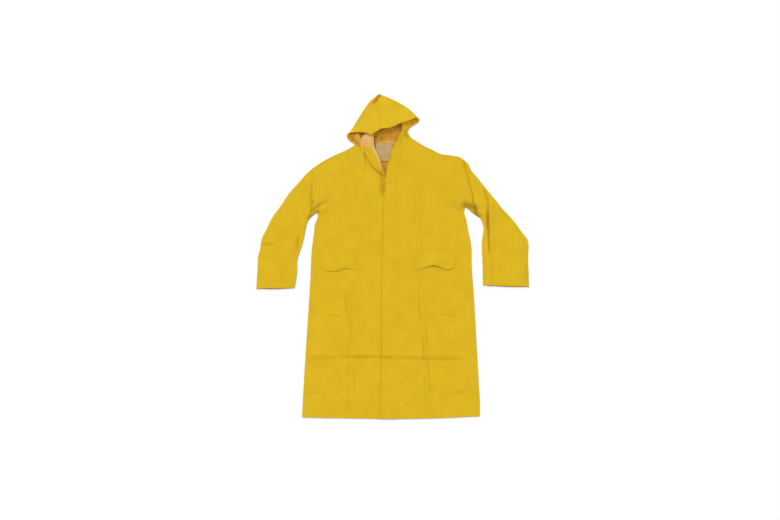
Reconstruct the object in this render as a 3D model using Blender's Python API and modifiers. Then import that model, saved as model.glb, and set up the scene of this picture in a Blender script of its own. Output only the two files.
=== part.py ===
"""Hooded raincoat of coated cloth, laid out flat and face up.

The coat lies on the plane z = 0 with the hood towards +Y and the hem towards -Y. Right and left are
the wearer's: the right half is at -X. Tables and heights are in millimetres, meshes in metres.
"""
from collections import namedtuple

import bmesh
import bpy
import numpy as np

MM = 0.001

# ---------------------------------------------------------------------------- driving sizes, in mm
CLOTH = 1.2            # wall of the coated cloth
GAP = 0.3              # clearance between neighbouring pieces
SEAM = 0.25            # how far each cut edge stays back from a seam line
LOFT = 1.5             # how far the fronts stand off the back, away from the seams
LOFT_REACH = 90.0      # distance from a seam over which the loft builds up
LAYER = CLOTH + GAP    # one layer of cloth and its clearance

LAP_END = -5.0         # the left front comes down off the right front from here
LAP_RUN = 45.0         # over this width
LAP_COVER = -72.0      # and the right front begins to run smooth under it here
ROLL_FOOT = 328.0      # height on the front edge where the turned-out corner begins

NECK_LIFT = 2.2        # the fronts stand up a little at the neck opening
NECK_MIDDLE = -30.0    # about this line
NECK_REACH = 60.0
OPENING_FOOT = 362.0   # lowest point of the neck opening
OPENING_TOP = 478.0

SLEEVE_FOLD = 3.4      # height of a sleeve at its two folded edges
SLEEVE_LOFT = 1.8      # how far its upper side stands up between them
SLEEVE_REACH = 60.0    # distance from an edge over which it does
FACING_WIDTH = 34.0
FACING_MOST = 0.76     # the facing takes no more than this share of the corner's width
FACING_END = 0.82      # it stops at this share of the corner's length on its free edge
FACING_SLANT = 0.14    # and this much earlier on its inner edge
FACING_CLEAR = 0.25    # more clearance for it, because its grid lies aslant on the corner's
LAPEL_REST = 0.4       # the turned-out corner lies this far clear of the front
LAPEL_CREST = 5.0      # and stands up by this much beside its fold
LAPEL_CLIMB = 3.5      # it rises this much over the hood's neck
CLIMB_REACH = 40.0     # over this length
LABEL_WALL = 1.0
CORD_DIAMETER = 4.0

FOLD_FADE = 40.0       # a pressed fold dies away over this length at its ends

HEM_SIDE_SHARE = 0.78  # share of a panel's side that lies below the armpit
ROLL_SHARE = 0.14      # share of the right front's edge that is turned out
FOLD_SHARE = 0.232     # share of a side that lies below the fold that runs across
FOLD_ROW = 0.014       # share of a side between that fold and the rows beside it
RISE_SHARE = 0.15      # share of a sleeve's length over which it comes up to its full height
ARMHOLE_STEPS = 7      # grid steps along an armhole, the same on both sides of its seam
SLEEVE_STEPS = 14      # grid steps along a sleeve
WIDTH_STEPS = 24       # steps across a sleeve along which its width is measured
TOP_CORNER = 0.1       # the top share of an armhole, where a sleeve keeps further back from it
BEND_STEPS = 4         # grid steps round a folded edge
FACING_STEPS = 3       # grid steps across the facing

# ------------------------------------------------------------------ seam and edge lines, from tables
Spot = namedtuple("Spot", "x y")

HEM = [Spot(-408, -723), Spot(-300, -726), Spot(-180, -727.5), Spot(-60, -730.3), Spot(90, -729.5),
       Spot(250, -725), Spot(391, -718.5)]

SIDE_RIGHT = [Spot(-408, -723), Spot(-397.5, -529), Spot(-383.5, -313), Spot(-370.5, -110),
              Spot(-362.8, 40), Spot(-353.5, 108), Spot(-349.5, 146), Spot(-338.5, 172),
              Spot(-337, 188), Spot(-341.5, 198)]
SIDE_LEFT = [Spot(391, -718.5), Spot(392.5, -682), Spot(388, -583), Spot(376, -367), Spot(363.5, -151),
             Spot(355.5, -45), Spot(353, 52), Spot(339.5, 119), Spot(329.5, 173), Spot(321, 203),
             Spot(325.5, 220)]

ARMHOLE_RIGHT = [Spot(-341.5, 198), Spot(-356, 206), Spot(-363, 221), Spot(-363.5, 245),
                 Spot(-366, 285), Spot(-365, 330), Spot(-360.5, 396)]
ARMHOLE_LEFT = [Spot(325.5, 220), Spot(346, 233), Spot(359, 256), Spot(356.5, 288), Spot(348, 320),
                Spot(341, 350), Spot(334, 375), Spot(326, 400), Spot(321.3, 434)]

SHOULDER_RIGHT = [Spot(-360.5, 396), Spot(-314.6, 427), Spot(-264, 454), Spot(-232, 468),
                  Spot(-203, 481), Spot(-170.5, 500.8)]
SHOULDER_LEFT = [Spot(321.3, 434), Spot(307, 444.5), Spot(266, 454), Spot(210, 463), Spot(179, 480),
                 Spot(145, 495.8), Spot(122.4, 509), Spot(88.5, 529.5)]

NECK_BACK = [Spot(-170.5, 500.8), Spot(-105, 505), Spot(-36.5, 512), Spot(30, 519), Spot(88.5, 529.5)]
NECK_FRONT_RIGHT = [Spot(-170.5, 500.8), Spot(-130, 491), Spot(-79.2, 488)]
NECK_FRONT_LEFT = [Spot(-8.6, 478), Spot(45, 497), Spot(88.5, 529.5)]

EDGE_LEFT = [Spot(-60, -730.3), Spot(-54, -583), Spot(-51, -461), Spot(-50, -133), Spot(-46, 60),
             Spot(-42.5, 190), Spot(-37.8, 286), Spot(-31.5, 362)]
OPENING_LEFT = [Spot(-31.5, 362), Spot(-24, 395), Spot(-15, 449), Spot(-8.6, 478)]
EDGE_RIGHT = [Spot(-12, -730.6), Spot(-12, -200), Spot(-12, ROLL_FOOT)]
ROLL_LINE = [Spot(-12, ROLL_FOOT), Spot(-38, 383), Spot(-57, 430), Spot(-79.2, 488)]

SLEEVE_RIGHT_OUTER = [Spot(-360.5, 396), Spot(-385, 374.5), Spot(-420.5, 335), Spot(-468, 281),
                      Spot(-504.5, 227), Spot(-543, 173), Spot(-569.5, 119), Spot(-589, 79),
                      Spot(-594, 50), Spot(-597, 30), Spot(-604, 8), Spot(-608.5, -56),
                      Spot(-613.8, -145)]
SLEEVE_RIGHT_INNER = [Spot(-341.5, 198), Spot(-355, 187.5), Spot(-373.5, 171), Spot(-384.5, 149),
                      Spot(-391, 124), Spot(-400, 79), Spot(-415.5, 26), Spot(-428, -14),
                      Spot(-428.8, -56), Spot(-433, -97), Spot(-441.5, -141.5)]
SLEEVE_LEFT_OUTER = [Spot(321.3, 434), Spot(340, 416.5), Spot(353, 389), Spot(375.5, 362),
                     Spot(418.5, 308), Spot(463.5, 254), Spot(496, 213.5), Spot(545, 160),
                     Spot(584.5, 106), Spot(605, 79), Spot(610.5, 62), Spot(609, 8), Spot(611, -56),
                     Spot(613.8, -137)]
SLEEVE_LEFT_INNER = [Spot(325.5, 220), Spot(338, 215), Spot(352, 202), Spot(374, 186), Spot(392, 173.5),
                     Spot(403, 153), Spot(408.5, 130), Spot(404.5, 92), Spot(401, 52), Spot(404, -16),
                     Spot(406, -128)]
CUFF_RIGHT = [Spot(-441.5, -141.5), Spot(-530, -146.5), Spot(-613.8, -145)]
CUFF_LEFT = [Spot(406, -128), Spot(510, -136), Spot(613.8, -137)]

# The hood. Height is that of the cloth's outer side. Along a fold it is the height of the fold.
Rise = namedtuple("Rise", "x y height")

CROWN_SEAM = [Rise(-60.3, 729.9, 4.6), Rise(-62.6, 686, 11.5), Rise(-54, 617, 20), Rise(-50, 574.5, 23)]
BACK_SEAM = [Spot(-60.3, 728.4), Spot(-50, 640), Spot(-42, 585), Spot(-36.5, 512)]

BRIM_LEFT = [Rise(-50, 574.5, 23), Rise(-8.6, 579.5, 22), Rise(33.3, 597.5, 19), Rise(75, 611, 14.5),
             Rise(103, 623, 10.5)]
TIP_LEFT = [Rise(103, 623, 10.5), Rise(109, 621.5, 9), Rise(106, 618, 8)]
UNDER_LEFT = [Rise(106, 618, 8), Rise(76, 613.5, 10), Rise(42.3, 600, 12)]
NECK_EDGE_LEFT = [Rise(42.3, 600, 12), Rise(44.5, 575, 11.5), Rise(34.5, 553, 11), Rise(21.5, 528, 10),
                  Rise(13, 506, 8.6), Rise(-8.6, 478, 7)]
SLOPE_LEFT = [Rise(-57, 729.6, 4), Rise(-14, 712.5, 4), Rise(39.5, 685.5, 4.5), Rise(79, 659, 5),
              Rise(106.5, 633, 6), Rise(116.5, 623, 7)]
FOLD_TIP_LEFT = [Rise(116.5, 623, 7), Rise(119.5, 615.5, 7), Rise(115, 606.5, 6)]
FOLD_NECK_LEFT = [Rise(115, 606.5, 6), Rise(97.5, 594, 5), Rise(79, 581, 4.5), Rise(69.5, 565.5, 4),
                  Rise(73, 549, 3.6), Rise(88.5, 529.5, 3.2)]

BRIM_RIGHT = [Rise(-50, 574.5, 23), Rise(-62, 568, 23), Rise(-79, 558, 23), Rise(-96, 547, 22.5),
              Rise(-116.6, 554.5, 19.5), Rise(-150, 558, 14.5), Rise(-184, 557, 10)]
TIP_RIGHT = [Rise(-184, 557, 10), Rise(-194, 553.5, 8), Rise(-191, 549, 5.6)]
UNDER_RIGHT = [Rise(-191, 549, 5.6), Rise(-140, 543, 4.6), Rise(-86, 547, 4.8)]
NECK_EDGE_RIGHT = [Rise(-86, 547, 4.8), Rise(-84, 515, 4.6), Rise(-79.2, 488, 4.4)]
SLOPE_RIGHT = [Rise(-63.6, 729.5, 4), Rise(-101, 699, 4), Rise(-130, 659.3, 4.5), Rise(-155.5, 618.8, 5),
               Rise(-181, 578.3, 6), Rise(-191, 562, 7)]
FOLD_TIP_RIGHT = [Rise(-191, 562, 7), Rise(-207, 544, 6), Rise(-202, 529, 5)]
FOLD_NECK_RIGHT = [Rise(-202, 529, 5), Rise(-190.5, 518, 4.2), Rise(-175.5, 508, 3.6),
                   Rise(-170.5, 500.8, 3.2)]

# Shares of a hood half's length, from the crown's tip to the neck seam.
HOOD_SHARES = (0.34, 0.28, 0.06, 0.12, 0.20)
CROWN_SHARE, NECK_SHARE = HOOD_SHARES[0], HOOD_SHARES[-1]
HOOD_ROWS = (6, 7, 2, 4, 6)         # grid steps along each of those stretches
HOOD_UPPER, HOOD_LOWER = 8, 6       # points across the upper and the lower side of a section

# The turned-out corner of the right front.
LAPEL_FREE = [Spot(-36, 361), Spot(-56, 375), Spot(-79, 396), Spot(-96, 419), Spot(-110, 442),
              Spot(-139, 489), Spot(-153, 510), Spot(-169, 527)]
LAPEL_ROLL = [Spot(-31, 367), Spot(-50, 412), Spot(-57, 436), Spot(-68, 464), Spot(-81, 492),
              Spot(-85, 520), Spot(-84, 562)]
LAPEL_TOP = ([Spot(-169, 527), Spot(-172, 542), Spot(-161, 553), Spot(-145, 554)],
             [Spot(-145, 554), Spot(-142, 543), Spot(-146, 527)],
             [Spot(-146, 527), Spot(-134, 538), Spot(-121, 554)],
             [Spot(-121, 554), Spot(-84, 560)])
LAPEL_TOP_SHARES = (0.27, 0.18, 0.18, 0.37)
LAPEL_TOP_FROM = 0.76  # the shaped top begins at this share of the corner's length
LAPEL_STEPS = (14, 8)  # grid steps along the corner, and across it beside the facing
CREST_FROM = 0.8       # the corner rises over this share of its width
CREST_AT = 0.72        # the crest lies at this share of the corner's width
CREST_REACH = 0.34     # and comes down again over this share
FULL_WIDTH = 70.0      # where the corner is narrower, its crest is lower

# Pressed folds of the two fronts: each a soft ridge along a smooth line.
Fold = namedtuple("Fold", "line width height")

FOLD_FRONT_RIGHT = Fold([Spot(-206, -100), Spot(-202, -400), Spot(-191, -715)], 12, 2.4)
FOLD_FRONT_LEFT = Fold([Spot(108, 470), Spot(112, 100), Spot(124, -205), Spot(145, -440),
                        Spot(162, -715)], 12, 2.4)
FOLD_ACROSS = Fold([Spot(-400, -443), Spot(0, -448), Spot(385, -446)], 12, 1.8)
PRESSED = [FOLD_FRONT_RIGHT, FOLD_FRONT_LEFT, FOLD_ACROSS]

# Pocket flaps: the free lower edge, a row for each point, with its lift off the front.
Edge = namedtuple("Edge", "x y lift")

FLAP_TOP = 29.0
FLAP_STITCH_RISE = 0.4
FLAP_STEPS = (5, 18)   # grid steps down a flap and across it
FLAP_RIGHT_SIDES = (-320.0, -160.0)
FLAP_RIGHT_EDGE = [Edge(-314, -50, 0.6), Edge(-300, -62, 1.5), Edge(-270, -65, 2), Edge(-242, -63, 2),
                   Edge(-225, -55, 2.4), Edge(-197, -54, 1.8), Edge(-175, -60, 0.6), Edge(-160, -58, 0.3)]
FLAP_LEFT_SIDES = (99.0, 284.0)
FLAP_LEFT_EDGE = [Edge(99, -56, 0.3), Edge(119, -60, 0.4), Edge(142, -51, 2), Edge(166, -43, 4),
                  Edge(190, -39, 5.5), Edge(212, -46, 4.5), Edge(234, -57, 2.5), Edge(263, -57, 1.8),
                  Edge(277, -49, 1.2), Edge(283, -28, 0.6)]

LABEL_LOW = Spot(-74, 429)
LABEL_HIGH = Spot(-3, 511)
LABEL_STEPS = 4

Pleat = namedtuple("Pleat", "inset height width")

SLEEVE_PLEAT = Pleat(28, 3.2, 9)    # a fold that runs down inside the left sleeve's inner edge

DRAWSTRING_RIGHT = [Rise(-137.5, 512, 9.4), Rise(-135.5, 500, 9.2), Rise(-134.5, 488, 9.3),
                    Rise(-133.8, 476, 9.3), Rise(-133, 466, 8.6), Rise(-132.6, 456, 7.2),
                    Rise(-132, 444, 6.5), Rise(-131.6, 430, 6.45), Rise(-131.1, 412, 6.55),
                    Rise(-130.6, 396, 6.55)]
DRAWSTRING_LEFT = [Rise(42.5, 604, 14.2), Rise(43.5, 598.5, 14.3), Rise(45.5, 592, 14),
                   Rise(48, 583, 13.5), Rise(50, 574, 12.6), Rise(51.5, 565, 11.1)]

YELLOW = (0.72, 0.46, 0.02)
LINING = (0.76, 0.52, 0.22)
OFF_WHITE = (0.62, 0.58, 0.50)
CREAM = (0.80, 0.62, 0.34)


# ------------------------------------------------------------------------------- curves and fields
def smooth_line(rows, steps=12):
    """A dense line of points on a smooth curve through the rows."""
    pts = np.array([tuple(row) for row in rows], float)
    chord = np.linalg.norm(np.diff(pts[:, :2], axis=0), axis=1)
    slope = np.diff(pts, axis=0) / chord[:, None]
    tangent = np.vstack([slope[:1], slope[-1:]])
    if len(pts) > 2:
        before, after = chord[:-1, None], chord[1:, None]
        middle = (slope[:-1] * after + slope[1:] * before) / (before + after)
        tangent = np.vstack([slope[:1], middle, slope[-1:]])
    line = [pts[:1]]
    for k, length in enumerate(chord):
        t = np.linspace(0, 1, steps + 1)[1:, None]
        line.append((2 * t**3 - 3 * t**2 + 1) * pts[k] + (t**3 - 2 * t**2 + t) * length * tangent[k]
                    + (3 * t**2 - 2 * t**3) * pts[k + 1] + (t**3 - t**2) * length * tangent[k + 1])
    return np.vstack(line)


def walk(line, share):
    """Points at the given shares of a line's length."""
    gone = np.concatenate([[0], np.cumsum(np.linalg.norm(np.diff(line[:, :2], axis=0), axis=1))])
    at = np.asarray(share) * gone[-1]
    return np.stack([np.interp(at, gone, line[:, k]) for k in range(line.shape[1])], -1)


def seam(*runs):
    """A boundary made of smooth runs that meet at corners, each with its share of the whole."""
    lines = [smooth_line(rows) for _, rows in runs]
    ends = np.concatenate([[0], np.cumsum([share for share, _ in runs])])

    def at(t):
        t = np.asarray(t, float)
        run = np.clip(np.searchsorted(ends, t, side="right") - 1, 0, len(lines) - 1)
        points = np.zeros(t.shape + (lines[0].shape[1],))
        for k, line in enumerate(lines):
            here = run == k
            points[here] = walk(line, (t[here] - ends[k]) / (ends[k + 1] - ends[k]))
        return points
    return at


def reverse(rows):
    return list(reversed(rows))


def hem_between(x0, x1):
    """The part of the hem between two places, as rows."""
    line = smooth_line(HEM)
    return [Spot(x, np.interp(x, line[:, 0], line[:, 1])) for x in np.linspace(x0, x1, 7)]


def stations(*runs):
    """Grid stations from 0 to 1: each run has its share and its number of steps."""
    ends = [0.0]
    for share, steps in runs:
        start = ends[-1]
        ends += [start + share * (k + 1) / steps for k in range(steps)]
    return np.array(ends)


def patch(low, high, first, last, u, v):
    """Plan of a panel between four boundaries. Row v, column u."""
    b, t, l, r = low(u)[None], high(u)[None], first(v)[:, None], last(v)[:, None]
    (b0, b1), (t0, t1) = low([0, 1]), high([0, 1])
    uu, vv = u[None, :, None], v[:, None, None]
    corners = (1 - uu) * (1 - vv) * b0 + uu * (1 - vv) * b1 + (1 - uu) * vv * t0 + uu * vv * t1
    return (1 - vv) * b + vv * t + (1 - uu) * l + uu * r - corners


def ease(t):
    t = np.clip(t, 0, 1)
    return t * t * (3 - 2 * t)


def side_limits(y):
    """Right and left limits of the body at the given heights."""
    right = np.vstack([smooth_line(SIDE_RIGHT), smooth_line(ARMHOLE_RIGHT)[1:]])
    left = np.vstack([smooth_line(SIDE_LEFT), smooth_line(ARMHOLE_LEFT)[1:]])
    return np.interp(y, right[:, 1], right[:, 0]), np.interp(y, left[:, 1], left[:, 0])


def shoulder_height(x):
    line = np.vstack([smooth_line(SHOULDER_RIGHT), smooth_line(NECK_BACK)[1:],
                      smooth_line(reverse(SHOULDER_LEFT))[1:]])
    return np.interp(x, line[:, 0], line[:, 1])


def pressed_ridges(x, y):
    """Height of the pressed folds at a place."""
    rise = np.zeros_like(x)
    for fold in PRESSED:
        line = smooth_line(fold.line, steps=60)
        gone = np.concatenate([[0], np.cumsum(np.linalg.norm(np.diff(line, axis=0), axis=1))])
        off = np.hypot(x[..., None] - line[:, 0], y[..., None] - line[:, 1])
        along = gone[off.argmin(-1)]
        ends = ease(along / FOLD_FADE) * ease((gone[-1] - along) / FOLD_FADE)
        rise += fold.height * ends * np.exp(-(off.min(-1) / fold.width) ** 2)
    return rise


def front_height(x, y):
    """Outer side of a front panel that lies on the back panel."""
    right, left = side_limits(y)
    side = ease(np.minimum(x - right, left - x) / LOFT_REACH)
    top = ease((shoulder_height(x) - y) / LOFT_REACH)
    foot = ease((y - HEM[3].y) / LOFT_REACH)
    neck = ease((y - OPENING_FOOT) / (OPENING_TOP - OPENING_FOOT))
    opening = np.exp(-((x - NECK_MIDDLE) / NECK_REACH) ** 2)
    return (CLOTH + LAYER + LOFT * side * top * foot + NECK_LIFT * neck * opening
            + pressed_ridges(x, y) * side)


def front_right_height(x, y):
    """The right front runs smooth under the left one."""
    return front_height(x, y) - pressed_ridges(x, y) * ease((x - LAP_COVER) / (LAP_RUN / 2))


def front_left_height(x, y):
    """The left front also lies over the right front along the middle."""
    return front_height(x, y) + LAYER * (1 - ease((x - LAP_END) / LAP_RUN))


def draw_in(plan, amount=SEAM):
    """Keeps each cut edge of a plan back from its seam line."""
    shift = np.zeros_like(plan)
    for axis in (0, 1):
        step = np.gradient(plan, axis=axis)
        step /= np.maximum(np.linalg.norm(step, axis=2, keepdims=True), 1e-9)
        first, last = [slice(None)] * 2, [slice(None)] * 2
        first[axis], last[axis] = 0, -1
        shift[tuple(first)] += step[tuple(first)] * amount
        shift[tuple(last)] -= step[tuple(last)] * amount
    return plan + shift


def follow(plan, fold, column):
    """Slides a row's points along it, so that one column, with one on each side, follows a fold."""
    moved = plan.copy()
    line = smooth_line(fold.line)
    line = line[np.argsort(line[:, 1])]
    places = np.arange(plan.shape[1], dtype=float)
    for row in range(plan.shape[0]):
        x, y = plan[row, :, 0], plan[row, :, 1]
        middle = np.interp(y[column], line[:, 1], line[:, 0])
        at = np.interp(middle + np.array([-fold.width, 0, fold.width]), x, places)
        new = np.interp(places, [0, column - 1, column, column + 1, places[-1]], [0, *at, places[-1]])
        moved[row, :, 0] = np.interp(new, places, x)
        moved[row, :, 1] = np.interp(new, places, y)
    return moved


# ------------------------------------------------------------------------------------ mesh builders
def material(name, color, roughness):
    mat = bpy.data.materials.new(name)
    mat.use_nodes = True
    shader = mat.node_tree.nodes["Principled BSDF"]
    shader.inputs["Base Color"].default_value = (*color, 1)
    shader.inputs["Roughness"].default_value = roughness
    shader.inputs["Metallic"].default_value = 0.0
    return mat


def cloth(name, points, color, roughness=0.45, wall=CLOTH, closed=False):
    """A wall of cloth whose outer side passes through a grid of points (rows, columns, xyz)."""
    rows, columns = points.shape[:2]
    bm = bmesh.new()
    bmesh.ops.create_grid(bm, x_segments=columns - 1, y_segments=rows - 1, size=1)
    for vert in bm.verts:
        column = round((vert.co.x + 1) / 2 * (columns - 1))
        row = round((vert.co.y + 1) / 2 * (rows - 1))
        vert.co = points[row, column] * MM
    if closed:
        bmesh.ops.remove_doubles(bm, verts=bm.verts, dist=0.00005)
    mesh = bpy.data.meshes.new(name)
    bm.to_mesh(mesh)
    bm.free()
    mesh.shade_smooth()
    mesh.materials.append(material(name, color, roughness))
    obj = bpy.data.objects.new(name, mesh)
    COAT.objects.link(obj)
    solid = obj.modifiers.new("wall", "SOLIDIFY")
    solid.thickness = wall * MM
    solid.offset = -1
    return obj


def sheet(name, plan, height, color, **kwargs):
    return cloth(name, np.dstack([plan, height]), color, **kwargs)


def turn(radius, steps):
    """Half turn of a fold seen end on: distance in from the fold and height, from top to bottom."""
    angle = np.linspace(90, -90, steps + 1) * np.pi / 180
    return radius * (1 - np.cos(angle)), radius * (1 + np.sin(angle))


# ------------------------------------------------------------------------------------------- pieces
def body_rows():
    """Rows of the panels: closer together at the fold that runs across, a corner at the armpit."""
    return stations((FOLD_SHARE - FOLD_ROW, 4), (FOLD_ROW, 1), (FOLD_ROW, 1),
                    (HEM_SIDE_SHARE - FOLD_SHARE - FOLD_ROW, 9), (1 - HEM_SIDE_SHARE, ARMHOLE_STEPS))


def make_back():
    shoulder, neck = 0.30, 0.36
    low = seam((1, HEM))
    high = seam((shoulder, SHOULDER_RIGHT), (neck, NECK_BACK),
                (1 - shoulder - neck, reverse(SHOULDER_LEFT)))
    first = seam((HEM_SIDE_SHARE, SIDE_RIGHT), (1 - HEM_SIDE_SHARE, ARMHOLE_RIGHT))
    last = seam((HEM_SIDE_SHARE, SIDE_LEFT), (1 - HEM_SIDE_SHARE, ARMHOLE_LEFT))
    columns = stations((shoulder, 5), (neck, 8), (1 - shoulder - neck, 6))
    rows = stations((HEM_SIDE_SHARE, 11), (1 - HEM_SIDE_SHARE, ARMHOLE_STEPS))
    plan = draw_in(patch(low, high, first, last, columns, rows))
    sheet("back", plan, np.full(plan.shape[:2], CLOTH), YELLOW)


def make_front_right():
    shoulder = 0.62
    low = seam((1, hem_between(HEM[0].x, EDGE_RIGHT[0].x)))
    high = seam((shoulder, SHOULDER_RIGHT), (1 - shoulder, NECK_FRONT_RIGHT))
    first = seam((HEM_SIDE_SHARE, SIDE_RIGHT), (1 - HEM_SIDE_SHARE, ARMHOLE_RIGHT))
    last = seam((1 - ROLL_SHARE, EDGE_RIGHT), (ROLL_SHARE, ROLL_LINE))
    columns = stations((shoulder, 9), (1 - shoulder, 5))
    rows = np.unique(np.concatenate([body_rows(), [1 - ROLL_SHARE]]))
    plan = follow(patch(low, high, first, last, columns, rows), FOLD_FRONT_RIGHT, column=7)
    plan = draw_in(plan)
    sheet("front_right", plan, front_right_height(plan[..., 0], plan[..., 1]), YELLOW)


def make_front_left():
    neck, opening = 0.34, 0.10
    low = seam((1, hem_between(EDGE_LEFT[0].x, HEM[-1].x)))
    high = seam((neck, NECK_FRONT_LEFT), (1 - neck, reverse(SHOULDER_LEFT)))
    first = seam((1 - opening, EDGE_LEFT), (opening, OPENING_LEFT))
    last = seam((HEM_SIDE_SHARE, SIDE_LEFT), (1 - HEM_SIDE_SHARE, ARMHOLE_LEFT))
    columns = stations((neck, HOOD_UPPER - 1), (1 - neck, 8))
    rows = np.unique(np.concatenate([body_rows(), [1 - opening]]))
    plan = follow(patch(low, high, first, last, columns, rows), FOLD_FRONT_LEFT, column=HOOD_UPPER - 1)
    plan = draw_in(plan)
    sheet("front_left", plan, front_left_height(plan[..., 0], plan[..., 1]), YELLOW)


def make_sleeve(name, armhole, cuff, inner, outer, pleat=None):
    """A flattened tube, open at the armhole and the cuff, folded along its two long edges."""
    lengthwise, crosswise = stations((1, SLEEVE_STEPS)), np.linspace(0, 1, WIDTH_STEPS + 1)
    spread = patch(seam((1, armhole)), seam((1, cuff)), seam((1, inner)), seam((1, outer)),
                   crosswise, lengthwise)
    rim = np.gradient(spread[0], axis=0)
    away = np.column_stack([rim[:, 1], -rim[:, 0]]) / np.linalg.norm(rim, axis=1, keepdims=True)
    corner = 4 * SEAM * ease((crosswise - 1 + TOP_CORNER) / TOP_CORNER)[:, None]
    spread[0] += (2 * SEAM + corner) * away * np.sign(((spread[1] - spread[0]) * away).sum())
    rings = []
    for share, across in zip(lengthwise, spread):
        width = np.linalg.norm(np.diff(across, axis=0), axis=1).sum()
        raised = ease(share / RISE_SHARE)
        fold = CLOTH + LAYER + (SLEEVE_FOLD - CLOTH - LAYER) * raised
        radius = fold / 2
        inset, turn_height = turn(radius, BEND_STEPS)
        top = width * np.linspace(0, 1, ARMHOLE_STEPS + 1)
        if pleat:
            near = 1 + np.argmin(np.abs(top[1:-1] - pleat.inset))
            top[near] += (pleat.inset - top[near]) * raised
        top[[0, -1]] = radius, width - radius
        lift = SLEEVE_LOFT * ease(np.minimum(top, width - top) / SLEEVE_REACH) * raised
        if pleat:
            lift = lift + pleat.height * np.exp(-((top - pleat.inset) / pleat.width) ** 2) * raised
        reach = np.concatenate([top, width - inset[1:-1], top[::-1], inset[1:-1][::-1], top[:1]])
        height = np.concatenate([fold + lift, turn_height[1:-1], np.zeros(len(top)),
                                 turn_height[1:-1][::-1], fold + lift[:1]])
        rings.append(np.column_stack([walk(across, reach / width), height]))
    grid = np.array(rings)
    across, along = grid[0, ARMHOLE_STEPS] - grid[0, 0], grid[-1, 0] - grid[0, 0]
    if across[0] * along[1] - across[1] * along[0] < 0:
        grid = grid[::-1]
    cloth(name, grid, YELLOW, closed=True)


def meet_neck_seam(grid, rows, front, neck_front):
    """Brings a hood half's last rows onto the curve and the height of the neck seam."""
    upper, lower = slice(0, HOOD_UPPER), slice(-HOOD_LOWER, None)
    near = ease((rows - (1 - NECK_SHARE)) / NECK_SHARE)[:, None]
    for columns, line in ((upper, smooth_line(neck_front)), (lower, smooth_line(NECK_BACK))):
        line = line[np.argsort(line[:, 0])]
        end = grid[-1, columns]
        grid[:, columns, 1] += near * (np.interp(end[:, 0], line[:, 0], line[:, 1]) - end[:, 1])
    x, y, height = grid[:, upper, 0], grid[:, upper, 1], grid[:, upper, 2]
    grid[:, upper, 2] = height + near * (front(x, y) - height)
    grid[-1, :, 1] += 2 * SEAM
    return grid


Hood = namedtuple("Hood", "sign front neck_front brim tip under neck_edge slope fold_tip fold_neck")


def make_hood_half(name, hood):
    """Half of the hood: from the crown seam or the face edge, round the outer fold, and back along
    the underside to the seam at the back."""
    inner = seam(*zip(HOOD_SHARES, (CROWN_SEAM, hood.brim, hood.tip, hood.under, hood.neck_edge)))
    fold = seam((sum(HOOD_SHARES[:2]), hood.slope), (HOOD_SHARES[2], hood.fold_tip),
                (sum(HOOD_SHARES[3:]), hood.fold_neck))
    back = seam((1, BACK_SEAM))
    rows = stations(*zip(HOOD_SHARES, HOOD_ROWS))
    inner_at, fold_at, back_at = inner(rows), fold(rows), back(rows)
    inner_at[rows <= CROWN_SHARE, 0] += hood.sign * SEAM
    back_at[:, 0] += hood.sign * SEAM
    sections = []
    for (ix, iy, iz), (fx, fy, fz), low in zip(inner_at, fold_at, back_at):
        outward = np.array([fx, fy]) - (np.array([ix, iy]) + low) / 2
        outward /= np.linalg.norm(outward)
        inset, turn_height = turn(fz / 2, BEND_STEPS)
        centre = np.array([fx, fy]) - outward * fz / 2
        t = np.linspace(0, 1, HOOD_UPPER)
        upper = (1 - t[:, None]) * np.array([ix, iy]) + t[:, None] * centre
        upper_height = fz + (iz - fz) * np.cos(np.pi / 2 * t)
        bend = np.array([fx, fy]) - outward * inset[1:-1, None]
        t = np.linspace(0, 1, HOOD_LOWER)[:, None]
        lower = (1 - t) * centre + t * low
        plan = np.vstack([upper, bend, lower])
        height = np.concatenate([upper_height, turn_height[1:-1], np.zeros(HOOD_LOWER)])
        sections.append(np.column_stack([plan, height]))
    grid = meet_neck_seam(np.array(sections), rows, hood.front, hood.neck_front)
    if hood.sign > 0:
        grid = grid[::-1]
    cloth(name, grid, YELLOW)


def lapel_row(share):
    """Points across the turned-out corner at one share of its length, its facing's columns first."""
    high = seam(*zip(LAPEL_TOP_SHARES, LAPEL_TOP))
    free, roll = seam((1, LAPEL_FREE)), seam((1, LAPEL_ROLL))
    near_top = ease((share - LAPEL_TOP_FROM) / (1 - LAPEL_TOP_FROM))
    width = np.linalg.norm(roll([share]) - free([share]))
    strip = min(FACING_MOST, FACING_WIDTH / width)
    strip += (LAPEL_TOP_SHARES[0] - strip) * near_top
    u = stations((strip, FACING_STEPS), (1 - strip, LAPEL_STEPS[1]))
    across = u[:, None]
    plan = (1 - across) * free([share]) + across * roll([share])
    straight = (1 - across) * high([0]) + across * high([1])
    plan += near_top * (high(u) - straight)
    crest = LAPEL_CREST * min(1, width / FULL_WIDTH)
    bulge = crest * ease(u / CREST_FROM) * np.sqrt(np.clip(1 - ((u - CREST_AT) / CREST_REACH) ** 8, 0, 1))
    climb = LAPEL_CLIMB * ease((plan[:, 1] - NECK_FRONT_RIGHT[-1].y) / CLIMB_REACH)
    height = front_height(plan[:, 0], plan[:, 1]) + LAYER + LAPEL_REST + climb + bulge
    return np.column_stack([plan, height])


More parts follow.
